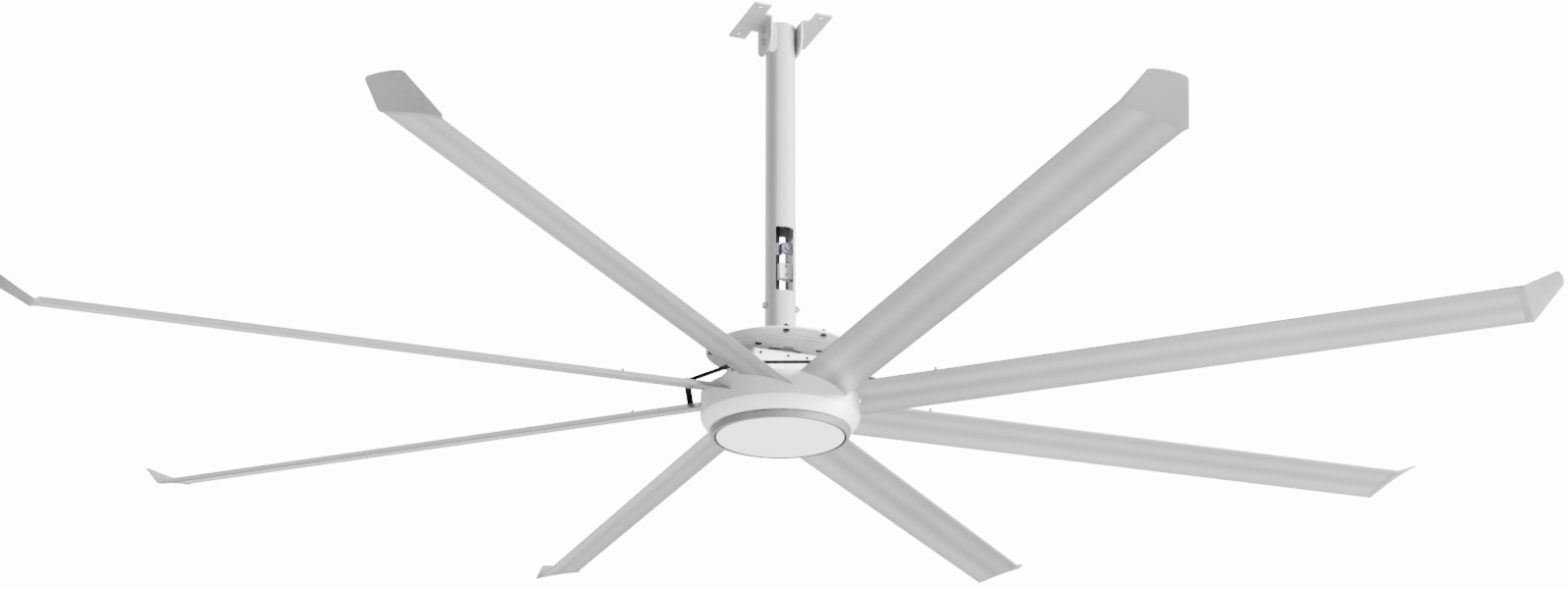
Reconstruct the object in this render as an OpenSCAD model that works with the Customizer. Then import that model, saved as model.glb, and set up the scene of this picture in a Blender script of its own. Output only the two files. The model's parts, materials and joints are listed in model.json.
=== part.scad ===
// Large industrial ceiling fan: eight extruded blades with turned-up tips,
// a gearless hub motor, a light pan under the hub and a round mast.
// The origin is the centre of the ceiling bolt pattern, on the top faces of
// the two bracket plates. +Z is up, +X runs across the two plates.

/* [Overall] */
// Diameter of the circle that the blade tips sweep
sweep_d = 4270; // [3000:10:6000]
// Distance from the ceiling down to the top end of the mast
mast_gap = 12; // [8:1:18]

/* [Ceiling bracket] */
// Thickness of the bent bracket plates
bracket_t = 6; // [4:0.5:8]
// Length of each ceiling plate
plate_len = 230; // [200:1:280]
// Width of each ceiling plate
plate_w = 54; // [40:1:80]
// Distance from the mast axis to the inner edge of a ceiling plate
plate_in = 70; // [62:1:90]
// Width of the ears that hold the mast
ear_w = 114; // [90:1:140]
// Distance from the ceiling down to the lower end of the ears
ear_drop = 104; // [94:1:130]
// Distance from the ceiling down to the upper ear bolt
ear_bolt_top = 27; // [26:1:36]
// Distance between the two ear bolts
ear_bolt_pitch = 40; // [34:1:48]
// Diameter of the ceiling bolt holes
ceiling_hole_d = 14; // [9:0.5:18]
// Distance between the two ceiling bolt holes of one plate
ceiling_hole_pitch = 180; // [140:1:184]

/* [Mast] */
// Length of the mast tube
mast_len = 1018; // [700:1:2400]
// Outer diameter of the mast tube
mast_od = 88.9; // [84:0.1:94]
// Wall of the mast tube
mast_wall = 5; // [3:0.1:6]
// Width of the wiring window
window_w = 55; // [44:1:60]
// Height of the wiring window
window_h = 197; // [185:1:260]
// Height of the window's lower edge above the mast's lower end
window_rise = 161; // [155:1:200]
// Height of the cross bolt above the mast's lower end
cross_bolt_rise = 123; // [60:1:135]
// Diameter of the bolts through the mast
mast_bolt_d = 12; // [8:0.5:14]

/* [Top plate] */
// Radius of the round top plate
top_plate_r = 212; // [206:1:225]
// Thickness of the top plate
top_plate_t = 6; // [5:0.5:10]
// Height of the top plate's upper face above the blade datum
top_plate_rise = 170; // [160:1:200]
// Depth of the cooling ribs under the top plate
rib_depth = 6; // [3:0.5:8]
// Distance between the cooling ribs
rib_pitch = 24; // [20:1:32]
// Width of a cooling rib
rib_w = 5; // [3:0.5:7]
// Radius of the mast foot's flange
foot_r = 128; // [126:1:150]
// Thickness of the mast foot's flange
foot_t = 12; // [8:0.5:16]

/* [Drive box] */
// Width and depth of the drive box
box_w = 268; // [250:1:290]
// Height of the drive box's upper face above the blade datum
box_top = 120; // [116:1:140]
// Height of the drive box
box_h = 54; // [45:1:58]
// Sheet thickness of the drive box
box_wall = 2; // [1.5:0.1:3]

/* [Hub] */
// Outer radius of the hub drum
hub_r = 225; // [222:1:240]
// Height of the drum's top above the blade datum
hub_top = 44; // [44:0.5:47]
// Depth of the seam below the blade datum
seam_drop = 29; // [26:0.5:34]
// Depth of the hub's floor below the blade datum
floor_drop = 66; // [60:0.5:72]
// Sheet thickness of the hub covers
cover_t = 2.5; // [1.5:0.1:3]
// Radius that the hub loses between its seam and its floor
bowl_in = 23; // [12:0.5:26]
// Bulge of the hub's side below the seam
bowl_bulge = 3; // [1:0.1:5]
// Radius of the fixed shaft
shaft_r = 25; // [20:0.5:28]
// Radius of the bore through the shaft
shaft_bore_r = 8; // [5:0.5:10]
// Outer radius of the stator
stator_r = 123; // [115:1:126]
// Height of the stator stack
stator_h = 34; // [24:1:36]
// Air gap between stator and magnets
air_gap = 1; // [0.6:0.1:1.5]
// Thickness of the magnets
magnet_t = 5; // [3:0.5:6]
// Thickness of the steel ring behind the magnets
iron_t = 11; // [9:0.5:12]

/* [Blades] */
// Chord of the blade
blade_chord = 157; // [140:1:170]
// Pitch of the blade in degrees
blade_pitch = 16.7; // [14:0.1:18]
// Largest thickness of the blade
blade_thick = 17; // [16:0.5:19]
// Height of the camber line above the chord
blade_camber = 11; // [8:0.5:12]
// Skin of the extruded blade
blade_skin = 2.2; // [1.6:0.1:2.6]
// Distance of the leading edge ahead of the blade's radial line
edge_lead = 27; // [20:1:34]
// Height of the leading edge above the blade datum
edge_rise = 38; // [36:0.5:39]
// Gap between the hub drum and the blade root
root_gap = 2; // [1:0.5:6]
// Radius of the outer blade bolts from the axis
blade_bolt_r = 467; // [420:1:490]
// Outer end of the spars from the axis
spar_end_r = 520; // [505:1:600]

/* [Winglets] */
// Radial length of the turned-up tip
tip_len = 110; // [95:1:130]
// Length of the tip's foot, from the blade to the bend
tip_foot = 18; // [12:1:30]
// How far the foot flares past the blade's nose
tip_flare = 7; // [2:0.5:9]
// Height of the free edge above the blade datum
tip_rise = 72; // [60:1:95]
// Length of the free edge
tip_edge = 93; // [70:1:110]
// Bow of the free edge
edge_bow = 4; // [1:0.5:8]
// How far the free edge draws back at its corners
edge_corner = 6; // [2:0.5:10]
// Thickness of the tip at its bend
tip_bend_t = 9; // [6:0.5:12]
// Thickness of the tip at its free edge
tip_t = 4; // [3:0.5:6]

/* [Safety ring] */
// Radius of the bolts that hold the safety ring
ring_r = 280; // [268:1:288]
// Width of the ring's strap
ring_w = 18; // [14:0.5:22]
// Thickness of the ring's strap
ring_h = 4; // [3:0.5:6]

/* [Light] */
// Radius of the pan's upper rim
pan_top_r = 200; // [197:1:203]
// Radius of the pan's lower rim
pan_r = 194; // [191:1:196]
// Depth of the pan
pan_h = 18.5; // [17:0.5:30]
// Radius of the diffuser
diffuser_r = 180; // [165:0.5:181]
// Gap between the turning hub and the fixed pan
pan_gap = 3.5; // [3:0.1:6]

/* [Hidden] */
$fn = 72;

blade_n = 8;
blade_step = 360 / blade_n;
seat = 0.3;
fit = 0.05;
eps = 0.5;

mast_r = mast_od / 2;
mast_in_r = mast_r - mast_wall;
mast_top_z = -mast_gap;
mast_low_z = mast_top_z - mast_len;
// The blade datum is the level that all hub heights are measured from.
datum_z = mast_low_z - foot_t - top_plate_rise;
mast_low = top_plate_rise + foot_t;
cross_h = mast_low + cross_bolt_rise;
window_low = mast_low + window_rise;
window_mid = window_low + window_h / 2;

// Hex heads and nuts: width across flats and height follow the shank.
function head_flat(d) = 1.6 * d;
function head_h(d) = 0.65 * d;
function nut_h(d) = 0.8 * d;
washer_t = 2.5;

ear_in = mast_r + seat;
ear_out = ear_in + bracket_t;
bend_r = 9;
ear_round = 40;
hole_x = plate_in + plate_w / 2;

foot_tube_r = mast_in_r - 0.2;
foot_bore_r = foot_tube_r - 8;
foot_tube_h = cross_bolt_rise + 30;
plate_low = top_plate_rise - top_plate_t;
foot_bolt_xy = [92, 69];
foot_bolt_d = 10;
rim_bolt_r = top_plate_r - 16;
rim_bolt_d = 10;
rim_bolt_turn = 16.5;
rib_zone_r = top_plate_r - 40;
flange_r = 58;
flange_t = 12;
flange_low = plate_low - flange_t;
flange_bolt_r = 44;
flange_bolt_d = 10;

box_low = box_top - box_h;
box_corner = 12;
lid_lip = 18;
collar_r = 40;
screw_row = [-110, -28, 28, 110];
screw_d = 4;
board_rise = 12;

bearing_w = 18;
race_t = 6;
ball_gap = 8;
race_in_r = shaft_r + fit;
race_mid_r = race_in_r + race_t;
race_out_r = race_mid_r + ball_gap;
bearing_r = race_out_r + race_t;
boss_bore_r = bearing_r + fit;
boss_r = boss_bore_r + 13;
bearing_lip_r = bearing_r - 5;

frame_t = 10;
frame_top = -10;
frame_low = frame_top - frame_t;
floor_z = -floor_drop;
boss_low = floor_z + cover_t + seat;
lower_bearing_z = boss_low + 2.2;
stator_low = frame_top + 6;
stator_top = stator_low + stator_h;
winding_over = 5;
bell_low = stator_top + winding_over + 1;
bell_top = hub_top - cover_t - 0.5;
bell_t = bell_top - bell_low;
upper_bearing_z = bell_low + 4;
boss_top = upper_bearing_z + bearing_w + 3;
magnet_in_r = stator_r + air_gap;
iron_in_r = magnet_in_r + magnet_t + fit;
iron_out_r = iron_in_r + iron_t;
slot_n = 24;
slot_w = 10;
slot_in_r = 85;
carrier_r = 62;

shell_corner = 6;
frame_r = hub_r - cover_t - 3.5;
floor_hole_r = shaft_r + 7;
post_r = hub_r - bowl_in - 14;
seam_gap = 1;

tang_w = 34;
tang_low = 24;
tang_t = 10;
tang_in_r = iron_out_r + 8;
tang_out_r = hub_r - 8;
tang_bolt_d = 10;
tang_bolt_rs = [tang_in_r + 26, tang_out_r - 16];
spar_x0 = 0.06;
spar_x1 = 0.30;
spar_t = 7;
root_r = hub_r + root_gap;

blade_bolt_d = 8;
stud_proud = 14;

tip_r = sweep_d / 2;
blade_end_r = tip_r - tip_len;

pan_top = floor_z - pan_gap;
pan_low = pan_top - pan_h;
pan_wall = 2;
seal_r = diffuser_r + seat + 5.4;
spigot_r = 12;
nut_t = 8;

cable_r = 8;
cable_at = [-3.5, 17.5];
connector_r = 9.6;
connector_len = 42;
tab_t = 4;
clip_h = 36;
clip_x = 20;
clip_band = 1.6;
clip_washer_r = 17;
clip_bolt_d = 10;
block_h = 48;
block_y = [-12, 8];
block_x = [-6, 33];

// Everything below the ceiling bracket is built about the blade datum.
module at_datum() {
    translate([0, 0, datum_z]) children();
}

module around(n, start = 0) {
    for (i = [0 : n - 1]) rotate([0, 0, start + i * 360 / n]) children();
}

module ring(r_out, r_in, h) {
    difference() {
        cylinder(r = r_out, h = h);
        translate([0, 0, -eps]) cylinder(r = r_in, h = h + 2 * eps);
    }
}

module hexagon(flat, h) {
    cylinder(r = flat / sqrt(3), h = h, $fn = 6);
}

// A hex bolt with its head's seat at height 0 and its shank pointing down.
module hex_bolt(d, len) {
    hexagon(head_flat(d), head_h(d));
    translate([0, 0, -len]) cylinder(r = d / 2, h = len + eps);
}

module hex_nut(d) {
    difference() {
        hexagon(head_flat(d), nut_h(d));
        translate([0, 0, -eps]) cylinder(r = d / 2 + 0.1, h = nut_h(d) + 2 * eps);
    }
}

module quarter_ring(r_out, r_in) {
    intersection() {
        difference() {
            circle(r_out);
            circle(r_in);
        }
        square(r_out + 1);
    }
}

module rounded_square(w, r) {
    union() {
        square([w, w - 2 * r], center = true);
        square([w - 2 * r, w], center = true);
        for (x = [-1, 1], y = [-1, 1]) translate([x * (w / 2 - r), y * (w / 2 - r)]) circle(r);
    }
}

// Ceiling bracket: a T-shaped blank, bent down once at the mast.
module bracket_blank() {
    tongue_x = ear_in + bend_r;
    difference() {
        union() {
            translate([plate_in, -plate_len / 2, -bracket_t]) cube([plate_w, plate_len, bracket_t]);
            translate([tongue_x, -ear_w / 2, -bracket_t])
                cube([plate_in - tongue_x + eps, ear_w, bracket_t]);
            translate([ear_in, -ear_w / 2, -ear_drop])
                cube([bracket_t, ear_w, ear_drop - bend_r]);
            translate([tongue_x, ear_w / 2, -bend_r]) rotate([90, 0, 0]) linear_extrude(ear_w)
                mirror([1, 0]) quarter_ring(bend_r, bend_r - bracket_t);
        }
        ear_corners();
        for (y = [-1, 1])
            translate([hole_x, y * ceiling_hole_pitch / 2, -bracket_t - eps])
                cylinder(d = ceiling_hole_d, h = bracket_t + 2 * eps);
        for (i = [0, 1])
            translate([ear_in - eps, 0, -ear_bolt_top - i * ear_bolt_pitch]) rotate([0, 90, 0])
                cylinder(d = mast_bolt_d + 1, h = bracket_t + 2 * eps);
    }
}

// The two lower corners of an ear are cut round.
module ear_corners() {
    for (y = [-1, 1])
        translate([ear_in - eps, y * (ear_w / 2 - ear_round), ear_round - ear_drop])
            difference() {
                translate([0, y > 0 ? 0 : -ear_round - eps, -ear_round - eps])
                    cube([bracket_t + 2 * eps, ear_round + eps, ear_round + eps]);
                translate([-eps, 0, 0]) rotate([0, 90, 0])
                    cylinder(r = ear_round, h = bracket_t + 4 * eps);
            }
}

module bracket_left() {
    color([0.62, 0.62, 0.63]) mirror([1, 0, 0]) bracket_blank();
}

module bracket_right() {
    color([0.62, 0.62, 0.63]) bracket_blank();
}

ear_bolt_len = 2 * ear_out + washer_t + nut_h(mast_bolt_d) + 4;

module along_ear_bolts() {
    for (i = [0, 1]) translate([0, 0, -ear_bolt_top - i * ear_bolt_pitch]) children();
}

module bracket_bolts() {
    nut_z = ear_out + washer_t;
    color([0.45, 0.45, 0.47]) along_ear_bolts() {
        translate([-ear_out - washer_t, 0, 0]) rotate([0, -90, 0])
            hex_bolt(mast_bolt_d, ear_bolt_len + washer_t);
        for (x = [-ear_out - washer_t, ear_out + 0.05]) translate([x, 0, 0]) rotate([0, 90, 0])
            ring(mast_bolt_d, mast_bolt_d / 2 + 0.1, washer_t - 0.05);
        translate([nut_z, 0, 0]) rotate([0, 90, 0]) hex_nut(mast_bolt_d);
    }
}

// Mast: a round tube with a wiring window cut right through.
module mast_tube() {
    color([0.83, 0.83, 0.84]) difference() {
        translate([0, 0, mast_low_z]) ring(mast_r, mast_in_r, mast_len);
        translate([-window_w / 2, -mast_r - eps, datum_z + window_low])
            cube([window_w, mast_od + 2 * eps, window_h]);
        along_ear_bolts() rotate([0, 90, 0])
            cylinder(d = mast_bolt_d + 1, h = mast_od + 2 * eps, center = true);
        translate([0, 0, datum_z + cross_h]) rotate([0, 90, 0])
            cylinder(d = mast_bolt_d + 1, h = mast_od + 2 * eps, center = true);
    }
}

module at_foot_bolts() {
    for (x = [-1, 1], y = [-1, 1])
        translate([x * foot_bolt_xy[0], y * foot_bolt_xy[1], 0]) children();
}

module mast_foot() {
    color([0.70, 0.70, 0.71]) at_datum() difference() {
        union() {
            translate([0, 0, top_plate_rise]) cylinder(r = foot_r, h = foot_t);
            translate([0, 0, top_plate_rise]) cylinder(r = foot_tube_r, h = foot_t + foot_tube_h);
        }
        translate([0, 0, top_plate_rise - eps])
            cylinder(r = foot_bore_r, h = foot_t + foot_tube_h + 2 * eps);
        translate([0, 0, cross_h]) rotate([0, 90, 0])
            cylinder(d = mast_bolt_d + 1, h = mast_od, center = true);
        at_foot_bolts() translate([0, 0, top_plate_rise - eps])
            cylinder(d = foot_bolt_d + 1, h = foot_t + 2 * eps);
    }
}

cross_bolt_len = mast_od + nut_h(mast_bolt_d) + 5;

module cross_bolt() {
    color([0.55, 0.55, 0.57]) at_datum() translate([0, 0, cross_h]) {
        translate([-mast_r - 0.1, 0, 0]) rotate([0, -90, 0])
            hex_bolt(mast_bolt_d, cross_bolt_len);
        translate([mast_r + 0.1, 0, 0]) rotate([0, 90, 0]) hex_nut(mast_bolt_d);
    }
}

module foot_bolts() {
    color([0.16, 0.16, 0.17]) at_datum() at_foot_bolts() {
        translate([0, 0, plate_low]) rotate([180, 0, 0])
            hex_bolt(foot_bolt_d, top_plate_t + foot_t + nut_h(foot_bolt_d) + 3);
        translate([0, 0, top_plate_rise + foot_t]) hex_nut(foot_bolt_d);
    }
}

module at_rim_bolts() {
    for (a = [0 : 90 : 270], s = [-1, 1])
        rotate([0, 0, a + s * rim_bolt_turn]) translate([rim_bolt_r, 0, 0]) children();
}

module at_flange_bolts() {
    around(6, 30) translate([flange_bolt_r, 0, 0]) children();
}

// Top plate: a round plate with straight cooling ribs under it.
module top_plate() {
    rib_n = floor(rib_zone_r / rib_pitch);
    color([0.68, 0.68, 0.69]) at_datum() difference() {
        union() {
            translate([0, 0, plate_low]) cylinder(r = top_plate_r, h = top_plate_t);
            intersection() {
                translate([0, 0, plate_low - rib_depth]) cylinder(r = rib_zone_r, h = rib_depth + eps);
                for (i = [-rib_n : rib_n - 1])
                    translate([-rib_zone_r, (i + 0.5) * rib_pitch - rib_w / 2, plate_low - rib_depth])
                        cube([2 * rib_zone_r, rib_w, rib_depth + eps]);
            }
        }
        translate([0, 0, plate_low - rib_depth - eps])
            cylinder(r = flange_r + 4, h = rib_depth + eps);
        at_foot_bolts() {
            translate([0, 0, plate_low - rib_depth - eps])
                cylinder(r = foot_bolt_d + 2, h = rib_depth + eps);
            translate([0, 0, plate_low - eps])
                cylinder(d = foot_bolt_d + 1, h = top_plate_t + 2 * eps);
        }
        at_rim_bolts() translate([0, 0, plate_low - eps])
            cylinder(d = rim_bolt_d + 1, h = top_plate_t + 2 * eps);
        at_flange_bolts() translate([0, 0, plate_low - eps])
            cylinder(d = flange_bolt_d + 1, h = top_plate_t + 2 * eps);
        translate([0, 0, plate_low - eps]) cylinder(r = shaft_bore_r, h = top_plate_t + 2 * eps);
    }
}

module rim_bolts() {
    color([0.16, 0.16, 0.17]) at_datum() at_rim_bolts() {
        translate([0, 0, plate_low]) rotate([180, 0, 0])
            hex_bolt(rim_bolt_d, top_plate_t + nut_h(rim_bolt_d) + 3);
        translate([0, 0, top_plate_rise]) hex_nut(rim_bolt_d);
    }
}

// Fixed hollow shaft with a flange under the top plate and a spigot for the pan.
module shaft() {
    color([0.60, 0.61, 0.63]) at_datum() difference() {
        union() {
            translate([0, 0, flange_low]) cylinder(r = flange_r, h = flange_t);
            translate([0, 0, pan_top + seat]) cylinder(r = shaft_r, h = flange_low - pan_top);
            translate([0, 0, pan_top - pan_wall - nut_t - 4])
                cylinder(r = spigot_r, h = nut_t + pan_wall + 6);
        }
        translate([0, 0, pan_low - 20]) cylinder(r = shaft_bore_r, h = plate_low - pan_low + 40);
        at_flange_bolts() translate([0, 0, flange_low - eps])
            cylinder(d = flange_bolt_d + 1, h = flange_t + 2 * eps);
    }
}

// Screws that hold the shaft's flange up against the plate and the mast foot.
module shaft_bolts() {
    color([0.30, 0.30, 0.32]) at_datum() at_flange_bolts()
        translate([0, 0, flange_low]) rotate([180, 0, 0])
            hex_bolt(flange_bolt_d, flange_t + top_plate_t - 0.5);
}

// Drive box: a square sheet-steel tray around the shaft with a lid on top.
module at_box_screws() {
    for (a = [0 : 90 : 270], x = screw_row)
        rotate([0, 0, a]) translate([x * box_w / 268, -box_w / 2, box_top - box_wall - lid_lip / 2])
            rotate([90, 0, 0]) children();
}

module drive_box() {
    color([0.94, 0.94, 0.94]) at_datum() difference() {
        translate([0, 0, box_low]) linear_extrude(box_h - box_wall - 0.05)
            rounded_square(box_w, box_corner);
        translate([0, 0, box_low + box_wall]) linear_extrude(box_h)
            rounded_square(box_w - 2 * box_wall, box_corner - box_wall);
        translate([0, 0, box_low - eps]) cylinder(r = shaft_r + seat, h = box_wall + 2 * eps);
        at_box_screws() translate([0, 0, -box_wall - 2 * eps])
            cylinder(d = screw_d + 0.4, h = box_wall + 4 * eps);
    }
}

module drive_lid() {
    lip_w = box_w - 2 * box_wall - 0.6;
    lip_r = box_corner - box_wall - 0.3;
    color([0.94, 0.94, 0.94]) at_datum() difference() {
        union() {
            translate([0, 0, box_top - box_wall]) linear_extrude(box_wall)
                rounded_square(box_w, box_corner);
            translate([0, 0, box_top - box_wall - lid_lip]) linear_extrude(lid_lip + eps)
                rounded_square(lip_w, lip_r);
        }
        translate([0, 0, box_top - box_wall - lid_lip - eps]) linear_extrude(lid_lip + eps)
            rounded_square(lip_w - 2 * box_wall, lip_r - box_wall);
        translate([0, 0, box_top - box_wall - eps])
            cylinder(r = shaft_r + seat, h = box_wall + 2 * eps);
        at_box_screws() translate([0, 0, -3 * box_wall])
            cylinder(d = screw_d + 0.4, h = 3 * box_wall);
    }
}

module drive_screws() {
    color([0.35, 0.35, 0.36]) at_datum() at_box_screws() {
        translate([0, 0, 0.05]) cylinder(r = screw_d, h = 2.4);
        translate([0, 0, -3 * box_wall]) cylinder(d = screw_d, h = 3 * box_wall + 1);
    }
}

// Split collar on the shaft that carries the box, above the upper bearing.
module box_collar() {
    collar_low = upper_bearing_z + bearing_w + seat;
    collar_t = box_low - collar_low - 0.05;
    color([0.40, 0.40, 0.42]) at_datum() translate([0, 0, collar_low]) difference() {
        ring(collar_r, race_in_r, collar_t);
        translate([0, -1.5, -eps]) cube([collar_r + 5, 3, collar_t + 2 * eps]);
    }
}

// Drive electronics: a board on four pillars with its power parts.
module drive_board() {
    board_w = box_w - 44;
    board_z = box_low + box_wall + board_rise;
    color([0.10, 0.35, 0.20]) at_datum() {
        difference() {
            translate([0, 0, board_z]) linear_extrude(1.6) rounded_square(board_w, 6);
            translate([0, 0, board_z - eps]) cylinder(r = shaft_r + 12, h = 3);
        }
        for (x = [-1, 1], y = [-1, 1])
            translate([x * (board_w / 2 - 10), y * (board_w / 2 - 10), box_low + box_wall])
                cylinder(r = 4, h = board_rise);
        for (i = [-2 : 2])
            translate([i * 26, 75, board_z + 1.6]) cylinder(r = 11, h = 20);
        translate([-75, -80, board_z + 1.6]) cube([60, 34, 18]);
        translate([20, -85, board_z + 1.6]) cube([44, 44, 16]);
    }
}

// Motor: the stator is fixed, the magnets and their ring turn round it.
module stator_core() {
    color([0.42, 0.42, 0.44]) at_datum() translate([0, 0, stator_low]) difference() {
        ring(stator_r, carrier_r + fit, stator_h);
        around(slot_n) {
            translate([slot_in_r, -slot_w / 2, -eps])
                cube([stator_r - slot_in_r - 5, slot_w, stator_h + 2 * eps]);
            translate([slot_in_r, -1.5, -eps]) cube([stator_r, 3, stator_h + 2 * eps]);
        }
    }
}

module windings() {
    color([0.72, 0.42, 0.22]) at_datum() around(slot_n)
        translate([slot_in_r + 0.5, -slot_w / 2 + 0.4, stator_low - winding_over])
            cube([stator_r - slot_in_r - 6, slot_w - 0.8, stator_h + 2 * winding_over]);
}

module stator_carrier() {
    color([0.66, 0.67, 0.68]) at_datum() translate([0, 0, stator_low]) difference() {
        ring(carrier_r, race_in_r, stator_h);
        around(6) translate([(carrier_r + shaft_r) / 2, 0, -eps])
            cylinder(r = 9, h = stator_h + 2 * eps);
    }
}

module at_bearings() {
    for (z = [lower_bearing_z, upper_bearing_z]) translate([0, 0, z]) children();
}

module bearing_inner_races() {
    color([0.75, 0.75, 0.77]) at_datum() at_bearings() ring(race_mid_r, race_in_r, bearing_w);
}

module bearing_outer_races() {
    color([0.75, 0.75, 0.77]) at_datum() at_bearings() ring(bearing_r, race_out_r, bearing_w);
}

module bearing_balls() {
    ball_r = (ball_gap - 0.6) / 2;
    color([0.80, 0.80, 0.82]) at_datum() at_bearings() around(12)
        translate([race_mid_r + ball_gap / 2, 0, bearing_w / 2]) sphere(r = ball_r);
}

module magnets() {
    color([0.35, 0.35, 0.38]) at_datum() translate([0, 0, stator_low]) around(slot_n + 4)
        rotate([0, 0, -5.2]) rotate_extrude(angle = 10.4)
            translate([magnet_in_r, 0]) square([magnet_t, stator_h]);
}

module back_iron() {
    color([0.50, 0.50, 0.52]) at_datum() difference() {
        translate([0, 0, frame_top]) ring(iron_out_r, iron_in_r, bell_low - frame_top);
        at_bell_screws() translate([0, 0, 8]) cylinder(d = 6.2, h = bell_low);
    }
}

module at_bell_screws() {
    around(blade_n, blade_step / 2) translate([(iron_in_r + iron_out_r) / 2, 0, 0]) children();
}

// End bell: the cast cover over the motor that holds the upper bearing.
module end_bell() {
    color([0.66, 0.67, 0.68]) at_datum() difference() {
        union() {
            translate([0, 0, bell_low]) cylinder(r = iron_out_r, h = bell_t);
            translate([0, 0, bell_low]) cylinder(r = boss_r, h = boss_top - bell_low);
        }
        translate([0, 0, bell_low - eps])
            cylinder(r = boss_bore_r, h = upper_bearing_z + bearing_w + 0.1 - bell_low + eps);
        translate([0, 0, bell_low]) cylinder(r = bearing_lip_r, h = boss_top);
        at_bell_screws() translate([0, 0, bell_low - eps]) cylinder(d = 6.6, h = bell_t + 2 * eps);
    }
}

// Screws that hold the drum and the end bell, and the ones under the bowl.
module hub_screws() {
    color([0.80, 0.80, 0.82]) at_datum() {
        at_bell_screws() translate([0, 0, hub_top + 0.05]) {
            cylinder(r = 6, h = 3.3);
            translate([0, 0, 12 - hub_top]) cylinder(d = 6, h = hub_top - 12 + eps);
        }
        at_cover_screws() {
            translate([0, 0, floor_z - 1.85]) cylinder(r = 5, h = 1.8);
            translate([0, 0, floor_z - 1]) cylinder(d = 5, h = 18);
        }
    }
}

// Rotor frame: a cast wheel with one block under each spar.
module rotor_frame() {
    color([0.66, 0.67, 0.68]) at_datum() difference() {
        union() {
            translate([0, 0, frame_low]) cylinder(r = frame_r, h = frame_t);
            translate([0, 0, boss_low]) cylinder(r = boss_r, h = frame_top - boss_low);
            around(blade_n) translate([tang_in_r + 2, -tang_w / 2, frame_top - 1])
                cube([tang_out_r - tang_in_r - 2, tang_w, tang_low - frame_top + 1]);
            around(blade_n, blade_step / 2) translate([post_r, 0, boss_low])
                cylinder(r = 8, h = frame_low - boss_low + 1);
        }
        translate([0, 0, lower_bearing_z - 0.1])
            cylinder(r = boss_bore_r, h = frame_top - lower_bearing_z + 1);
        translate([0, 0, boss_low - eps]) cylinder(r = bearing_lip_r, h = frame_top - boss_low + 2);
        around(blade_n, blade_step / 2) {
            translate([post_r, 0, boss_low - eps]) cylinder(d = 5.2, h = 20);
            translate([100, 0, frame_low - eps]) cylinder(r = 22, h = frame_t + 2 * eps);
        }
        at_tang_bolts() translate([0, 0, frame_low - eps])
            cylinder(d = tang_bolt_d + 0.6, h = tang_low - frame_low + 2 * eps);
    }
}

module at_tang_bolts() {
    around(blade_n) for (r = tang_bolt_rs) translate([r, 0, 0]) children();
}

module spar_bolts() {
    color([0.55, 0.55, 0.57]) at_datum() at_tang_bolts() {
        translate([0, 0, tang_low + tang_t + 0.05])
            hex_bolt(tang_bolt_d, tang_low + tang_t - frame_low + nut_h(tang_bolt_d) + 3);
        translate([0, 0, frame_low - nut_h(tang_bolt_d) - 0.05]) hex_nut(tang_bolt_d);
    }
}

// Hub covers: a white drum above the seam and a rounded bowl below it.
module hub_shell() {
    color([0.95, 0.95, 0.95]) at_datum() difference() {
        rotate_extrude() {
            translate([hub_r - cover_t, -seam_drop])
                square([cover_t, hub_top - shell_corner + seam_drop]);
            translate([hub_r - shell_corner, hub_top - shell_corner])
                quarter_ring(shell_corner, shell_corner - cover_t);
            translate([boss_r + 4, hub_top - cover_t])
                square([hub_r - shell_corner - boss_r - 4, cover_t]);
        }
        around(blade_n) translate([tang_out_r + 1, 0, 0]) spar_bar(root_r - tang_out_r + 4, 1.5);
        at_bell_screws() translate([0, 0, hub_top - cover_t - eps])
            cylinder(d = 6.6, h = cover_t + 2 * eps);
    }
}

// A point of the lower cover's side, from the seam at 0 to the floor at 1.
function mix(a, b, s) = a + (b - a) * s;
function bowl_point(s, inset, low) = [
    hub_r - bowl_in * s + bowl_bulge * sin(180 * s) - inset, mix(-seam_drop - seam_gap, low, s)
];
bowl_n = 12;
module hub_lower_cover() {
    color([0.95, 0.95, 0.95]) at_datum() difference() {
        rotate_extrude() polygon(concat(
            [for (i = [0 : bowl_n]) bowl_point(i / bowl_n, 0, floor_z)],
            [[floor_hole_r, floor_z], [floor_hole_r, floor_z + cover_t]],
            [for (i = [bowl_n : -1 : 0]) bowl_point(i / bowl_n, 1.15 * cover_t, floor_z + cover_t)]
        ));
        at_cover_screws() translate([0, 0, floor_z - eps]) cylinder(d = 5.4, h = cover_t + 2 * eps);
    }
}

module at_cover_screws() {
    around(blade_n, blade_step / 2) translate([post_r, 0, 0]) children();
}

// Blade section. x runs from 0 at the nose to 1 at the tail of the chord.
function camber_at(x) = 4 * blade_camber * x * (1 - x);
function half_thick(x) =
    5 * blade_thick * (0.2969 * sqrt(x) - 0.126 * x - 0.3516 * pow(x, 2)
        + 0.2843 * pow(x, 3) - 0.1036 * pow(x, 4)) + 1.2 * x;
function to_frame(x, y) = [
    x * blade_chord * cos(blade_pitch) + y * sin(blade_pitch) - edge_lead,
    edge_rise - x * blade_chord * sin(blade_pitch) + y * cos(blade_pitch)
];
function chord_step(i, n) = (1 - cos(180 * i / n)) / 2;
function skin_point(x, side, inset) = to_frame(x, camber_at(x) + side * (half_thick(x) - inset));
side_n = 18;
function blade_outline() = concat(
    [for (i = [0 : side_n]) skin_point(chord_step(side_n - i, side_n), 1, 0)],
    [for (i = [1 : side_n]) skin_point(chord_step(i, side_n), -1, 0)]
);
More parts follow.
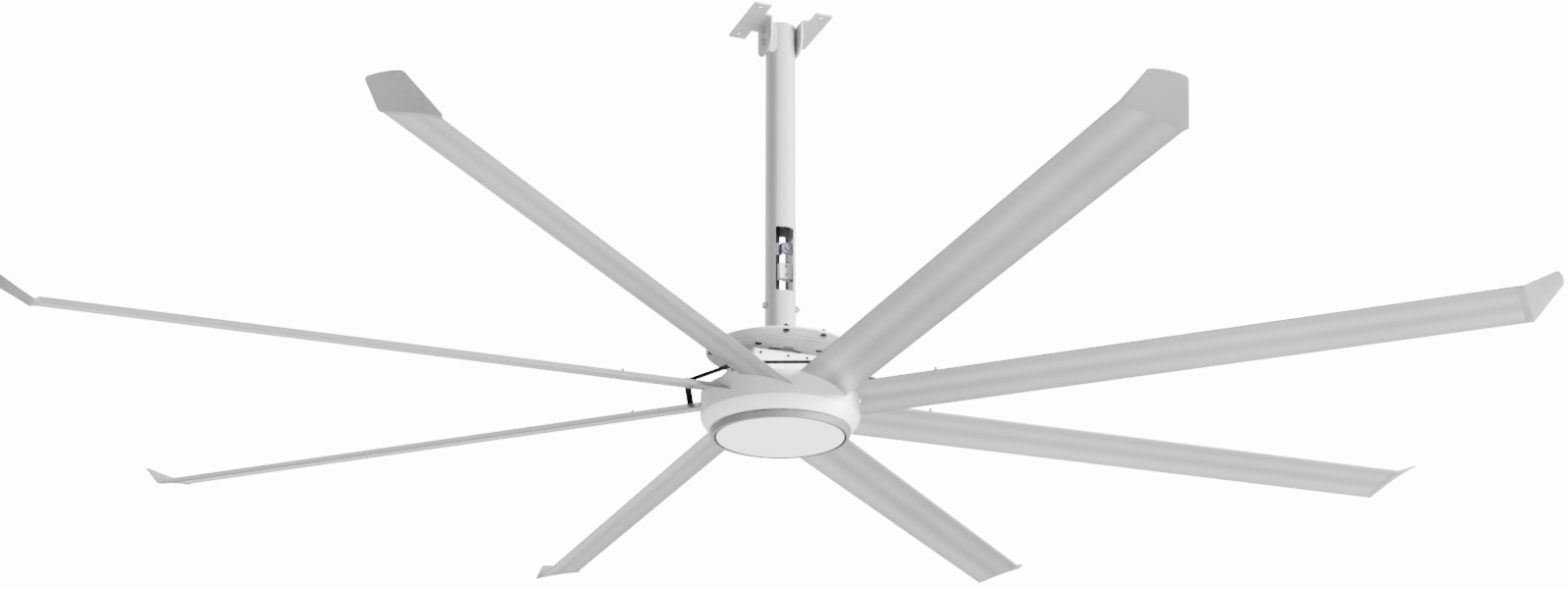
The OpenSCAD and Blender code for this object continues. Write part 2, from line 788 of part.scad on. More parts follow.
// A closed cell between two places on the chord, inset from the skin.
cell_n = 8;
function cell_outline(x0, x1, inset) = concat(
    [for (i = [0 : cell_n]) skin_point(x1 + (x0 - x1) * i / cell_n, 1, inset)],
    [for (i = [0 : cell_n]) skin_point(x0 + (x1 - x0) * i / cell_n, -1, inset)]
);
cells = [[0.035, 0.33], [0.36, 0.62], [0.65, 0.86]];
// The spar follows the camber line at an even thickness.
function mean_point(x, lift) = to_frame(x, camber_at(x) + lift);
function spar_outline(gap) = concat(
    [for (i = [0 : 6]) mean_point(spar_x1 + (spar_x0 - spar_x1) * i / 6 + (i == 0 ? 1 : i == 6 ? -1 : 0) * gap / blade_chord,
        (i == 6 ? 0.62 : 1) * spar_t / 2 + gap)],
    [for (i = [0 : 6]) mean_point(spar_x0 + (spar_x1 - spar_x0) * i / 6 + (i == 6 ? 1 : i == 0 ? -1 : 0) * gap / blade_chord,
        -(i == 0 ? 0.62 : 1) * spar_t / 2 - gap)]
);

// A profile in the blade's section plane, extruded outwards along +X.
module along_blade(len) {
    rotate([90, 0, 90]) linear_extrude(len) children();
}

module spar_bar(len, gap) {
    along_blade(len) polygon(spar_outline(gap));
}

bolt_x = (spar_x0 + spar_x1) / 2;
bolt_foot = mean_point(bolt_x, 0);
crest_z = max([for (i = [2 : 12]) skin_point(i / 40, 1, 0)[1]]);
ring_low = crest_z + seat;
ring_bolt_head_z = ring_low + ring_h + 1;

module at_blade_bolts(r) {
    translate([r, bolt_foot[0], 0]) children();
}

module blade() {
    at_datum() difference() {
        translate([hub_r - 30, 0, 0]) along_blade(blade_end_r - hub_r + 30) difference() {
            polygon(blade_outline());
            for (c = cells) polygon(cell_outline(c[0], c[1], blade_skin));
        }
        translate([0, 0, -60]) cylinder(r = root_r, h = 160, $fn = 144);
        for (r = [ring_r, blade_bolt_r]) at_blade_bolts(r)
            translate([0, 0, bolt_foot[1] + spar_t / 4]) cylinder(d = blade_bolt_d + 0.6, h = 40);
    }
}

module blade_at(k) {
    color([0.78, 0.78, 0.79]) rotate([0, 0, (k - 1) * blade_step]) blade();
}

module blade_spars() {
    color([0.48, 0.48, 0.50]) at_datum() around(blade_n) difference() {
        union() {
            translate([tang_out_r - 6, 0, 0]) spar_bar(spar_end_r - tang_out_r + 6, 0);
            translate([tang_in_r, -tang_w / 2, tang_low])
                cube([tang_out_r - tang_in_r, tang_w, tang_t]);
        }
        for (r = [ring_r, blade_bolt_r]) at_blade_bolts(r) cylinder(d = blade_bolt_d + 0.2, h = 100);
        for (r = tang_bolt_rs) translate([r, 0, tang_low - eps])
            cylinder(d = tang_bolt_d + 0.6, h = tang_t + 2 * eps);
    }
}

// Bolts through blade and spar: the inner row also carries the safety ring.
module blade_bolts() {
    bolt_low = bolt_foot[1] - spar_t / 2;
    color([0.50, 0.50, 0.52]) at_datum() around(blade_n) {
        at_blade_bolts(ring_r) translate([0, 0, ring_bolt_head_z + 0.05])
            hex_bolt(blade_bolt_d, ring_bolt_head_z - bolt_low);
        at_blade_bolts(blade_bolt_r) {
            translate([0, 0, bolt_low])
                cylinder(d = blade_bolt_d, h = crest_z + stud_proud - bolt_low);
            translate([0, 0, crest_z + 0.1]) hex_nut(blade_bolt_d);
        }
    }
}

// Safety ring: a flat strap that runs straight from blade to blade, with a
// round pad under each bolt head.
ring_turn = atan2(bolt_foot[0], ring_r);
ring_mid = norm([ring_r, bolt_foot[0]]);
ring_side = ring_w / 2 / cos(blade_step / 2);
function strap(r) = [
    for (k = [0 : blade_n - 1]) let (a = k * blade_step + ring_turn) [r * cos(a), r * sin(a)]
];
module safety_ring() {
    color([0.09, 0.09, 0.10]) at_datum() difference() {
        union() {
            translate([0, 0, ring_low]) linear_extrude(ring_h) difference() {
                polygon(strap(ring_mid + ring_side));
                polygon(strap(ring_mid - ring_side));
            }
            around(blade_n) at_blade_bolts(ring_r) translate([0, 0, ring_low - 0.1])
                cylinder(r = ring_w / 2 + 3, h = ring_h + 1.1);
        }
        around(blade_n) at_blade_bolts(ring_r) translate([0, 0, crest_z])
            cylinder(d = blade_bolt_d + 0.6, h = 40);
    }
}

// Winglet: a short foot carries the blade section outwards and flares a
// little. A sharp bend turns it into a thin sheet that rises, levels out and
// narrows to a bowed free edge.
nose_in = to_frame(0, 0);
tail_in = to_frame(1, 0);
edge_shift = 17;
nose_bend = nose_in + tip_flare * [-1, -0.5];
tail_bend = tail_in + tip_flare * [1.8, 0.6];
nose_out = [nose_in[0] + edge_shift, tip_rise];
tail_out = [nose_out[0] + tip_edge, tip_rise - 1];
tip_bend_r = blade_end_r + tip_foot;
sheet_len = tip_r - tip_t / 3 - tip_bend_r;
sheet_camber = 0.4;
corner_share = 0.1;
// A point of the skin, on a chord from a to b. The lift is tipped over by lean.
function tip_skin(a, b, r, x, lift, lean) =
    let (d = b - a, n = [-d[1], d[0]] / norm(d), p = a + d * x)
    [r - lift * sin(lean), p[0] + n[0] * lift * cos(lean), p[1] + n[1] * lift * cos(lean)];
function foot_point(x, side, f) = tip_skin(
    mix(nose_in, nose_bend, f * f), mix(tail_in, tail_bend, f * f), blade_end_r + tip_foot * f, x,
    camber_at(x) * mix(1, sheet_camber, f) + side * mix(half_thick(x), bend_half(x), f), 0
);
function bend_half(x) = min(half_thick(x), tip_bend_t / 2);
function sheet_lean(x) = atan2(mix(nose_out[1] - nose_bend[1], tail_out[1] - tail_bend[1], x), sheet_len);
function bend_point(x, side) =
    let (lift = camber_at(x) * sheet_camber + side * bend_half(x), lean = sheet_lean(x) / 2)
    tip_skin(nose_bend, tail_bend, tip_bend_r, x, lift / cos(lean), lean);
// Share of the sheet's length by which the free edge is drawn back.
function drawn_back(x) =
    let (near = max(0, 1 - min(x, 1 - x) / corner_share))
    (edge_bow * pow(2 * x - 1, 2) + edge_corner * (1 - sqrt(1 - near * near))) / sheet_len;
function sheet_point(x, side, t) =
    let (u = t * (1 - drawn_back(x)),
        half = min(half_thick(x), mix(tip_bend_t, tip_t, min(1, 2.5 * u)) / 2),
        lift = camber_at(x) * sheet_camber * (1 - u) + side * half)
    tip_skin(mix(nose_bend, nose_out, u), mix(tail_bend, tail_out, u), tip_bend_r + sheet_len * u, x,
        lift, sheet_lean(x));
tip_n = 12;
plug_len = 40;
foot_middle = 0.5;
sheet_stations = [0.1, 0.3, 0.5, 0.7, 0.85, 1];
// One ring over the top from tail to nose and back below.
function tip_sides() = concat(
    [for (i = [0 : tip_n]) [chord_step(tip_n - i, tip_n), 1]],
    [for (i = [1 : tip_n]) [chord_step(i, tip_n), -1]]
);
// The plug fits into the middle cell of the blade.
function plug_x(i) = mix(cells[1][0] + 0.01, cells[1][1] - 0.01, i / tip_n);
function plug_ring(r) = concat(
    [for (i = [0 : tip_n]) let (p = skin_point(plug_x(tip_n - i), 1, blade_skin + 0.4)) [r, p[0], p[1]]],
    [for (i = [1 : tip_n]) let (p = skin_point(plug_x(i - 0.5), -1, blade_skin + 0.4)) [r, p[0], p[1]]]
);
ring_len = 2 * tip_n + 1;
function tip_rings() = concat(
    [plug_ring(blade_end_r - plug_len), plug_ring(blade_end_r + seat / 6)],
    [[for (c = tip_sides()) let (p = foot_point(c[0], c[1], 0)) [blade_end_r + seat / 6, p[1], p[2]]]],
    [[for (c = tip_sides()) foot_point(c[0], c[1], foot_middle)]],
    [[for (c = tip_sides()) bend_point(c[0], c[1])]],
    [for (t = sheet_stations) [for (c = tip_sides()) sheet_point(c[0], c[1], t)]]
);

// Every side of the winglet is two triangles.
function side_face(j, i, half) =
    let (a = j * ring_len + i, b = j * ring_len + (i + 1) % ring_len)
    half == 0 ? [a, a + ring_len, b + ring_len] : [a, b + ring_len, b];

// The free end is closed by two triangles for each step along the chord.
function end_face(k, half, j) =
    let (m = j * ring_len + tip_n)
    half == 0 ? [m + k + 1, m + k, m - k - (k == 0 ? 1 : 0)] : [m + k + 1, m - k, m - k - 1];

module winglet() {
    rings = tip_rings();
    n = len(rings);
    points = [for (r = rings, p = r) p];
    at_datum() polyhedron(
        points,
        concat(
            [[for (i = [0 : ring_len - 1]) i]],
            [for (j = [0 : n - 2], i = [0 : ring_len - 1], half = [0, 1]) side_face(j, i, half)],
            [for (k = [0 : tip_n - 1], half = [0, 1]) if (k > 0 || half == 0) end_face(k, half, n - 1)]
        ),
        convexity = 6
    );
}

module winglet_at(k) {
    color([0.74, 0.74, 0.75]) rotate([0, 0, (k - 1) * blade_step]) winglet();
}

// Light: a tapered pan on the shaft's spigot, an LED board and an opal cover.
module light_pan() {
    color([0.62, 0.62, 0.63]) at_datum() rotate_extrude()
        polygon([
            [spigot_r + 0.3, pan_top], [pan_top_r, pan_top], [pan_r, pan_low],
            [seal_r, pan_low], [seal_r, pan_low + pan_wall], [pan_r - pan_wall - 0.8, pan_low + pan_wall],
            [pan_top_r - pan_wall - 0.6, pan_top - pan_wall], [spigot_r + 0.3, pan_top - pan_wall]
        ]);
}

module led_board() {
    board_r = diffuser_r - 12;
    color([0.92, 0.92, 0.88]) at_datum() {
        translate([0, 0, pan_top - pan_wall - seat - 1.6]) ring(board_r, spigot_r + 12, 1.6);
        for (k = [1 : 4]) around(6 * k) translate([k * board_r / 4.6, -2.5, pan_top - pan_wall - seat - 2.4])
            cube([5, 5, 0.8]);
    }
}

module light_nut() {
    color([0.70, 0.68, 0.60]) at_datum() translate([0, 0, pan_top - pan_wall - nut_t - 0.1]) difference() {
        hexagon(2.9 * spigot_r, nut_t);
        translate([0, 0, -eps]) cylinder(r = spigot_r + 0.1, h = nut_t + 2 * eps);
    }
}

// Diffuser: an opal disc with a rolled rim that sits inside the seal.
module diffuser() {
    rim_h = 9;
    color([0.97, 0.97, 0.97]) at_datum() translate([0, 0, pan_low]) rotate_extrude() {
        square([diffuser_r - 3, 2.5]);
        translate([diffuser_r - 3, 3]) mirror([0, 1]) quarter_ring(3, 0.5);
        translate([diffuser_r - 2.5, 3]) square([2.5, rim_h - 3]);
    }
}

module diffuser_seal() {
    color([0.06, 0.06, 0.06]) at_datum() translate([0, 0, pan_low])
        ring(seal_r - 0.1, diffuser_r + 0.1, 8);
}

// Cable: one straight run inside the mast, plugged at both ends.
cable_low = top_plate_rise + connector_len;
cable_top = -mast_gap - datum_z - connector_len - 6;

module power_cable() {
    color([0.05, 0.05, 0.05]) at_datum() translate([cable_at[0], cable_at[1], cable_low])
        cylinder(r = cable_r, h = cable_top - cable_low);
}

module cable_connectors() {
    color([0.10, 0.10, 0.11]) at_datum() for (z = [top_plate_rise + 0.1, cable_top + 0.05])
        translate([cable_at[0], cable_at[1], z]) {
            cylinder(r = connector_r, h = connector_len - 0.2);
            translate([0, 0, connector_len / 2 - 4]) cylinder(r = connector_r + 0.8, h = 8);
        }
}

// Tabs welded inside the mast: one carries the cable clip, one the clamp block.
clip_z = window_low + 0.74 * window_h;
block_z = window_low + 0.37 * window_h;
tab_x = cable_at[0] + cable_r + 4;
block_tab_y = block_y[1] + 0.1;
function wall_x(y) = sqrt(pow(mast_in_r, 2) - pow(y, 2)) - 0.1;

module clip_bolt_hole(len) {
    rotate([-90, 0, 0]) translate([0, 0, -eps]) cylinder(d = clip_bolt_d + 0.4, h = len + 2 * eps);
}

module cable_tabs() {
    color([0.60, 0.60, 0.62]) at_datum() {
        translate([tab_x, -tab_t, clip_z - clip_h / 2]) difference() {
            cube([wall_x(tab_t) - tab_x, tab_t, clip_h]);
            translate([clip_x - tab_x, 0, clip_h / 2]) clip_bolt_hole(tab_t);
        }
        translate([tab_x, block_tab_y, block_z - block_h / 2])
            cube([wall_x(block_tab_y + tab_t) - tab_x, tab_t, block_h]);
    }
}

// The clip is a strap that wraps the cable and comes forward to the tab.
module cable_clip() {
    strap_x = cable_at[0] + cable_r + 0.1;
    leg_y = -tab_t - 0.05 - clip_band;
    color([0.60, 0.60, 0.62]) at_datum() translate([0, 0, clip_z - clip_h / 2]) {
        difference() {
            union() {
                translate([cable_at[0], cable_at[1], 0])
                    cylinder(r = cable_r + 0.1 + clip_band, h = clip_h);
                translate([strap_x, leg_y, 0]) cube([clip_band, cable_at[1] - leg_y, clip_h]);
                translate([strap_x, leg_y, 0]) cube([wall_x(-leg_y) - 2 - strap_x, clip_band, clip_h]);
            }
            translate([cable_at[0], cable_at[1], -eps]) cylinder(r = cable_r + 0.1, h = clip_h + 2 * eps);
            translate([clip_x, leg_y, clip_h / 2]) clip_bolt_hole(clip_band);
        }
        translate([clip_x, leg_y - 0.05, clip_h / 2]) rotate([90, 0, 0]) {
            ring(clip_washer_r, clip_bolt_d / 2 + 0.2, 3);
            translate([0, 0, 3.05]) hex_bolt(clip_bolt_d, clip_band + tab_t + 5);
        }
        translate([clip_x, 0.05, clip_h / 2]) rotate([-90, 0, 0]) hex_nut(clip_bolt_d);
    }
}

module terminal_block() {
    size = [block_x[1] - block_x[0], block_y[1] - block_y[0], block_h];
    color([0.55, 0.55, 0.56]) at_datum() translate([block_x[0], block_y[0], block_z - block_h / 2])
        difference() {
            cube(size);
            for (i = [-1, 1]) translate([size[0] / 2, -eps, block_h / 2 + i * 13]) rotate([-90, 0, 0])
                cylinder(r = 4, h = 7);
        }
}

bracket_left();
bracket_right();
bracket_bolts();
mast_tube();
mast_foot();
cross_bolt();
foot_bolts();
top_plate();
rim_bolts();
shaft();
shaft_bolts();
drive_box();
drive_lid();
drive_board();
drive_screws();
box_collar();
stator_core();
windings();
stator_carrier();
bearing_inner_races();
bearing_balls();
bearing_outer_races();
light_pan();
led_board();
diffuser();
diffuser_seal();
light_nut();
power_cable();
cable_connectors();
cable_tabs();
cable_clip();
terminal_block();
hub_shell();
hub_lower_cover();
rotor_frame();
end_bell();
back_iron();
magnets();
blade_spars();
spar_bolts();
hub_screws();
safety_ring();
blade_bolts();
blade_at(1);  // blade_1
blade_at(2);  // blade_2
blade_at(3);  // blade_3
blade_at(4);  // blade_4
blade_at(5);  // blade_5
blade_at(6);  // blade_6
blade_at(7);  // blade_7
blade_at(8);  // blade_8
winglet_at(1);  // winglet_1
winglet_at(2);  // winglet_2
winglet_at(3);  // winglet_3
winglet_at(4);  // winglet_4
winglet_at(5);  // winglet_5
winglet_at(6);  // winglet_6
winglet_at(7);  // winglet_7
winglet_at(8);  // winglet_8
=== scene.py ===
"""Looks of a large industrial ceiling fan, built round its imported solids.

Sizes are in millimetres until they reach Blender, which works in metres.
Heights are measured from the blade datum, a level plane through the hub.
The datum lies below the ceiling plates by the height of the rotor's hinge.
"""

import json
import logging
import math
from collections.abc import Callable, Iterator, Sequence
from contextlib import contextmanager
from dataclasses import dataclass
from enum import Enum
from typing import Any

import bmesh
import bpy
from mathutils import Matrix, Vector


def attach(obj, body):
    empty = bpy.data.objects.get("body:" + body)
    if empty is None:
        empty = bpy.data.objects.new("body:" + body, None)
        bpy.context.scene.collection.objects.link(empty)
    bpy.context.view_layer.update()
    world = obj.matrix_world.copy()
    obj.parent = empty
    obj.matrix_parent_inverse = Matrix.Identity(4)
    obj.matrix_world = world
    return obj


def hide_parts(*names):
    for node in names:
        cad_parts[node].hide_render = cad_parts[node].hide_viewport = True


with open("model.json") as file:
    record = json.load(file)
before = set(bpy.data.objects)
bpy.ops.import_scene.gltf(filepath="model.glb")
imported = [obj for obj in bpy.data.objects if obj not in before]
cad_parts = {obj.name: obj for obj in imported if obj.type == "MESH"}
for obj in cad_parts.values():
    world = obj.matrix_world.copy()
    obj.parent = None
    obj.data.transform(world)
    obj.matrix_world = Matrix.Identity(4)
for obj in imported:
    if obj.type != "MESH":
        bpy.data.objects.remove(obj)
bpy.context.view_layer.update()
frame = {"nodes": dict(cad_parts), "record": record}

LOG = logging.getLogger("ceiling_fan")
MM = 0.001
DATUM = frame["record"]["behaviour"]["joints"][0]["pos_m"][2] / MM
FIXED = "stator_and_mast"
TURNING = "rotor"
FLOW = "flow"  # the map that runs along and around a drawn skin
ROUND_FACES = 144  # faces round the large pressed and turned pieces
BLADES = 8
HOLE_ROOM = 0.5  # how much wider than its bolt a hole is, on each side
SEAT_GAP = 0.1  # the gap between a seated piece and its seat
Flat = tuple[float, float]
Triple = tuple[float, float, float]
Solid = bpy.types.Object
Tree = bpy.types.NodeTree


class Grain(Enum):
    """How the surface of a finish was made."""

    POWDER = "sprayed and baked powder"
    CAST = "cast and blasted"
    DRAWN = "drawn through a die along the piece"
    PLATED = "plated"
    MOULDED = "moulded"
    TURNED = "turned on a lathe"


class Ends(Enum):
    """What closes a drawn skin at its first and last ring."""

    CAPPED = "a flat face on each end"
    JOINED = "the last ring joins the first"
    OPEN = "nothing"


# How a grain is drawn out along X, Y and Z: the smaller, the longer its lines.
GRAIN_STRETCH = {Grain.DRAWN: (0.004, 1.0, 1.0), Grain.TURNED: (0.03, 0.03, 1.0)}


def hex_colour(code: str) -> tuple[float, float, float, float]:
    """Turns an sRGB hex value into Blender's linear colour.

    Args:
        code: six hex digits.

    Returns:
        Red, green, blue and alpha.
    """
    parts = [int(code[i : i + 2], 16) / 255 for i in (0, 2, 4)]
    linear = [p / 12.92 if p <= 0.04045 else ((p + 0.055) / 1.055) ** 2.4 for p in parts]
    return (linear[0], linear[1], linear[2], 1.0)


def add_node(
    tree: Tree,
    kind: str,
    settings: dict[Any, Any] | None = None,
    links: dict[Any, Any] | None = None,
    output: int | str = 0,
) -> Any:
    """Adds one node with its settings and links.

    Args:
        tree: the node tree it goes in.
        kind: the node's type, without Blender's first word "ShaderNode".
        settings: properties by name, and input values by name or number.
        links: output sockets by the input that they feed.
        output: the output that is wanted.

    Returns:
        That output socket, or None where the node has none.
    """
    node = tree.nodes.new("ShaderNode" + kind)
    for key, value in (settings or {}).items():
        if isinstance(key, str) and hasattr(node, key):
            setattr(node, key, value)
        else:
            node.inputs[key].default_value = value
    for key, source in (links or {}).items():
        tree.links.new(source, node.inputs[key])
    return node.outputs[output] if len(node.outputs) else None


@dataclass(frozen=True)
class Finish:
    """One real surface: what it is made of and how it was made."""

    name: str
    colour: str
    shade: str
    grain: Grain
    roughness: float
    grain_mm: float
    depth_mm: float
    patch_mm: float
    spread: float = 0.06
    metallic: float = 0.0
    coat: float = 0.0
    glow: float = 0.0
    specular: float = 0.5
    speckle: float = 0.35
    flute_mm: float = 0.0
    flute_depth_mm: float = 0.0
    crest_mm: float = 0.0
    # How strongly the flutes paint highlight and shade bands into the colour, and how much of the
    # soft patches shows between them.
    shade_band: float = 0.4

    def place(self, tree: Tree) -> Any:
        """Gives the coordinates that the grain is drawn on.

        Args:
            tree: the material's node tree.

        Returns:
            A vector output, in metres on the piece.
        """
        if self.grain is Grain.DRAWN:
            here = add_node(tree, "UVMap", {"uv_map": FLOW})
        else:
            here = add_node(tree, "TexCoord", output="Object")
        if self.grain not in GRAIN_STRETCH:
            return here
        return add_node(tree, "Mapping", {"Scale": GRAIN_STRETCH[self.grain]}, {"Vector": here})

    def flutes(self, tree: Tree) -> Any:
        """Follows the shallow flutes that run along an extrusion.

        Args:
            tree: the material's node tree.

        Returns:
            An output that is 1 on a crest and -1 in a valley.
        """
        flow = add_node(tree, "UVMap", {"uv_map": FLOW})
        around = add_node(tree, "SeparateXYZ", {}, {"Vector": flow}, "Y")
        pace = math.tau / (self.flute_mm * MM)
        wave = {"operation": "MULTIPLY_ADD", 1: pace, 2: -pace * self.crest_mm * MM}
        return add_node(
            tree, "Math", {"operation": "COSINE"}, {0: add_node(tree, "Math", wave, {0: around})}
        )

    def material(self) -> bpy.types.Material:
        """Builds the finish as a node material.

        Returns:
            The material, or the one that was built before.
        """
        made = bpy.data.materials.get(self.name)
        if made:
            return made
        made = bpy.data.materials.new(self.name)
        made.use_nodes = True
        tree = made.node_tree
        tree.nodes.clear()
        here = add_node(tree, "TexCoord", output="Object")
        broad = {"Scale": 1 / (self.patch_mm * MM), "Detail": 4.0, "Roughness": 0.55}
        patch = add_node(tree, "TexNoise", broad, {"Vector": here})
        close = {"Scale": 1 / (self.grain_mm * MM), "Detail": 3.0, "Roughness": 0.6}
        fine = add_node(tree, "TexNoise", close, {"Vector": self.place(tree)})
        cloud = add_node(tree, "MapRange", {"From Min": 0.38, "From Max": 0.62}, {"Value": patch})
        specks = {"operation": "MULTIPLY_ADD", 1: self.speckle, 2: -self.speckle / 2}
        speck = add_node(tree, "Math", specks, {0: fine})
        rolling = {}
        # The flutes paint lighter and darker bands into the colour: painted highlight on each crest
        # and painted shade in each valley, for the light on a curved extrusion. The bump from the
        # same wave is a shallow relief.
        if self.flute_mm:
            wave = self.flutes(tree)
            bands = {"operation": "MULTIPLY_ADD", 1: -self.shade_band, 2: self.shade_band}
            shade_band = add_node(tree, "Math", bands, {0: wave})
            blend = {"operation": "MULTIPLY_ADD", 1: self.shade_band / 2}
            cloud = add_node(tree, "Math", blend, {0: cloud, 2: shade_band})
            roll = {"Strength": 1.0, "Distance": self.flute_depth_mm * MM}
            rolling = {"Normal": add_node(tree, "Bump", roll, {"Height": wave})}
        adding = {"operation": "ADD", "use_clamp": True}
        factor = add_node(tree, "Math", adding, {0: cloud, 1: speck})
        colours = {"data_type": "RGBA", 6: hex_colour(self.colour), 7: hex_colour(self.shade)}
        tone = add_node(tree, "Mix", colours, {0: factor}, 2)
        gloss = {
            "From Min": 0.3,
            "From Max": 0.7,
            "To Min": max(0.04, self.roughness - self.spread),
            "To Max": min(1.0, self.roughness + self.spread),
        }
        polish = add_node(tree, "MapRange", gloss, {"Value": fine})
        bump = {"Strength": 0.6, "Distance": self.depth_mm * MM}
        relief = add_node(tree, "Bump", bump, {"Height": fine, **rolling})
        surface = {
            "Metallic": self.metallic,
            "Coat Weight": self.coat,
            "Coat Roughness": 0.2,
            "Emission Color": hex_colour(self.colour),
            "Emission Strength": self.glow,
            "Specular IOR Level": self.specular,
        }
        drives = {"Base Color": tone, "Roughness": polish, "Normal": relief}
        shader = add_node(tree, "BsdfPrincipled", surface, drives)
        add_node(tree, "OutputMaterial", {}, {"Surface": shader})
        return made


# After its name, a finish has its two colours, grain and roughness, and then
# the grain's width, its depth and the width of the soft patches in mm.
# Real orange peel is 1 to 2 mm across, a blasted or moulded texture 0.1 to 0.5,
# and a tool's marks 0.2. These are too fine to show, so they are drawn at 1 to 6.

# White polyester powder coat: even and bright, with a faint orange peel.
WHITE_COAT = Finish(
    "white polyester powder coat", "FAFAFA", "F5F5F6", Grain.POWDER, 0.38, 4, 0.03, 220
)
# Drum and square box: the cover's white powder coat greyed a shade, as painted shade for the shadow
# that the blades and the top plate cast on them.
SHADE_GREYED_COAT = Finish(
    "white powder coat greyed with painted shade", "D2D2D3", "CCCCCE", Grain.POWDER, 0.4, 4, 0.03, 220
)
# Silver powder coat on the mast: a metal flake that mirrors the room softly.
MAST_COAT = Finish(
    "silver powder coat under clear lacquer", "DADADB", "D4D4D6", Grain.POWDER, 0.2, 4, 0.01, 260,
    spread=0.03, metallic=0.8,
)
# Clear anodised extrusion: satin, with die lines along the blade.
# Real die lines are 0.2 mm apart, so they are drawn at 3 mm to show. Broad darker and lighter bands
# run along the blade: painted shade and painted highlight for the light on its curved underside,
# over a shallow bump.
BLADE_METAL = Finish(
    "clear anodised aluminium extrusion", "9D9D9E", "818182", Grain.DRAWN, 0.36, 3, 0.02, 420,
    metallic=0.6, flute_mm=73, flute_depth_mm=0.5, crest_mm=220,
)
# Moulded tips: dense plastic with a spark-eroded texture, a touch darker than
# the blades.
TIP_PLASTIC = Finish(
    "moulded light grey nylon", "7D7D7E", "777778", Grain.MOULDED, 0.45, 3, 0.02, 120
)
# Black powder coat on the safety strap: deep and matt, with hardly a sheen.
RING_COAT = Finish(
    "black polyester powder coat", "101011", "161617", Grain.POWDER, 0.7, 3, 0.03, 90,
    specular=0.12,
)
# Grey paint on the light's pan: satin and level.
PAN_COAT = Finish("satin grey enamel", "6E6E6F", "666668", Grain.POWDER, 0.36, 4, 0.02, 160)
# Opal acrylic: milky, evenly lit through, with a soft sheen.
OPAL = Finish(
    "opal acrylic", "EDEDED", "EAEAEB", Grain.MOULDED, 0.32, 6, 0.004, 200, coat=0.15, glow=0.97
)
# Blasted cast aluminium: open grey grain that holds a little dirt.
CAST_METAL = Finish(
    "blasted cast aluminium", "C4C5C6", "B6B7B9", Grain.CAST, 0.5, 2.5, 0.06, 70, metallic=0.1
)
# Grey paint over bent steel plate on the brackets: satin, a little uneven.
BRACKET_COAT = Finish(
    "grey enamel on steel plate", "B0B0B2", "A2A2A5", Grain.POWDER, 0.42, 3, 0.04, 45
)
# Bright zinc: pale, with a cool bloom that changes across each head.
ZINC = Finish(
    "bright zinc plated steel", "B9BBC0", "8F9299", Grain.PLATED, 0.3, 1.5, 0.02, 12, metallic=0.85
)
# Black oxide screws: nearly black with an oily sheen.
BLACK_OXIDE = Finish(
    "black oxide steel", "1B1B1D", "2B2B2E", Grain.PLATED, 0.36, 1.5, 0.02, 9, metallic=0.6
)
# Turned steel: bright rings left by the tool, drawn at 2 mm to show.
TURNED_STEEL = Finish(
    "turned steel", "A8A9AC", "8C8D91", Grain.TURNED, 0.3, 2, 0.03, 30, metallic=0.9
)
# Nitrile rubber: matt and almost black.
RUBBER = Finish(
    "black nitrile rubber", "0A0A0B", "121213", Grain.MOULDED, 0.7, 1.5, 0.03, 20, specular=0.2
)
# Cable jacket: black vinyl with a low gloss.
JACKET = Finish("black vinyl cable jacket", "0E0E10", "18181A", Grain.MOULDED, 0.4, 2, 0.02, 30)
# Primer on the steel bar of the spars: flat grey, patchy where it was sprayed.
SPAR_COAT = Finish("grey primed steel bar", "8A8A8D", "7A7A7E", Grain.POWDER, 0.5, 2, 0.05, 40)
# Stacked electrical steel under a thin lacquer: fine dull layers.
CORE_STEEL = Finish(
    "lacquered electrical steel", "6E6F73", "5B5C60", Grain.TURNED, 0.45, 1, 0.05, 25, metallic=0.7
)
# Enamelled copper wire in wound coils: bright ridges, one to each wire.
COPPER = Finish(
    "enamelled copper wire", "B0622E", "8C4A20", Grain.TURNED, 0.3, 1.5, 0.2, 15, metallic=0.8
)
# Nickel on the magnets: smooth and warm grey.
NICKEL = Finish(
    "nickel plated magnet", "9B9A96", "85847F", Grain.PLATED, 0.25, 1, 0.01, 10, metallic=0.9
)
# Circuit board: green solder resist over glass cloth, glossy and a little mottled.
BOARD = Finish(
    "green solder resist on glass cloth", "1E5C3A", "184C30", Grain.MOULDED, 0.35, 1.5, 0.03, 30
)
# White solder resist on the LED board: bright, with a low gloss.
LED_WHITE = Finish("white solder resist", "F0F0E8", "E6E6DC", Grain.MOULDED, 0.35, 1.5, 0.02, 40)
# Floor paint: pale and matt, so that it throws soft light up at the fan.
FLOOR_PAINT = Finish(
    "pale matt floor paint", "D0D0D0", "CCCCCC", Grain.POWDER, 0.8, 8, 0.1, 900
)


def deselect_all() -> None:
    """Leaves object mode with nothing selected."""
    active = bpy.context.view_layer.objects.active
    if active and active.mode != "OBJECT":
        bpy.ops.object.mode_set(mode="OBJECT")
    for piece in list(bpy.context.selected_objects):
        piece.select_set(False)


def take_up(piece: Solid) -> None:
    """Makes a piece the only selected and active one.

    Args:
        piece: the piece to work on.
    """
    deselect_all()
    piece.select_set(True)
    bpy.context.view_layer.objects.active = piece


@contextmanager
def editing(piece: Solid) -> Iterator[None]:
    """Holds a piece in edit mode while the lines under it run.

    Args:
        piece: the piece to work on.

    Yields:
        Nothing, once the piece is open.
    """
    take_up(piece)
    bpy.ops.object.mode_set(mode="EDIT")
    yield
    bpy.ops.object.mode_set(mode="OBJECT")


def label_new(name: str) -> Solid:
    """Names the piece that an operator has just added.

    Args:
        name: its name.

    Returns:
        The piece.
    """
    piece = bpy.context.view_layer.objects.active
    piece.name = name
    piece.data.name = name
    return piece


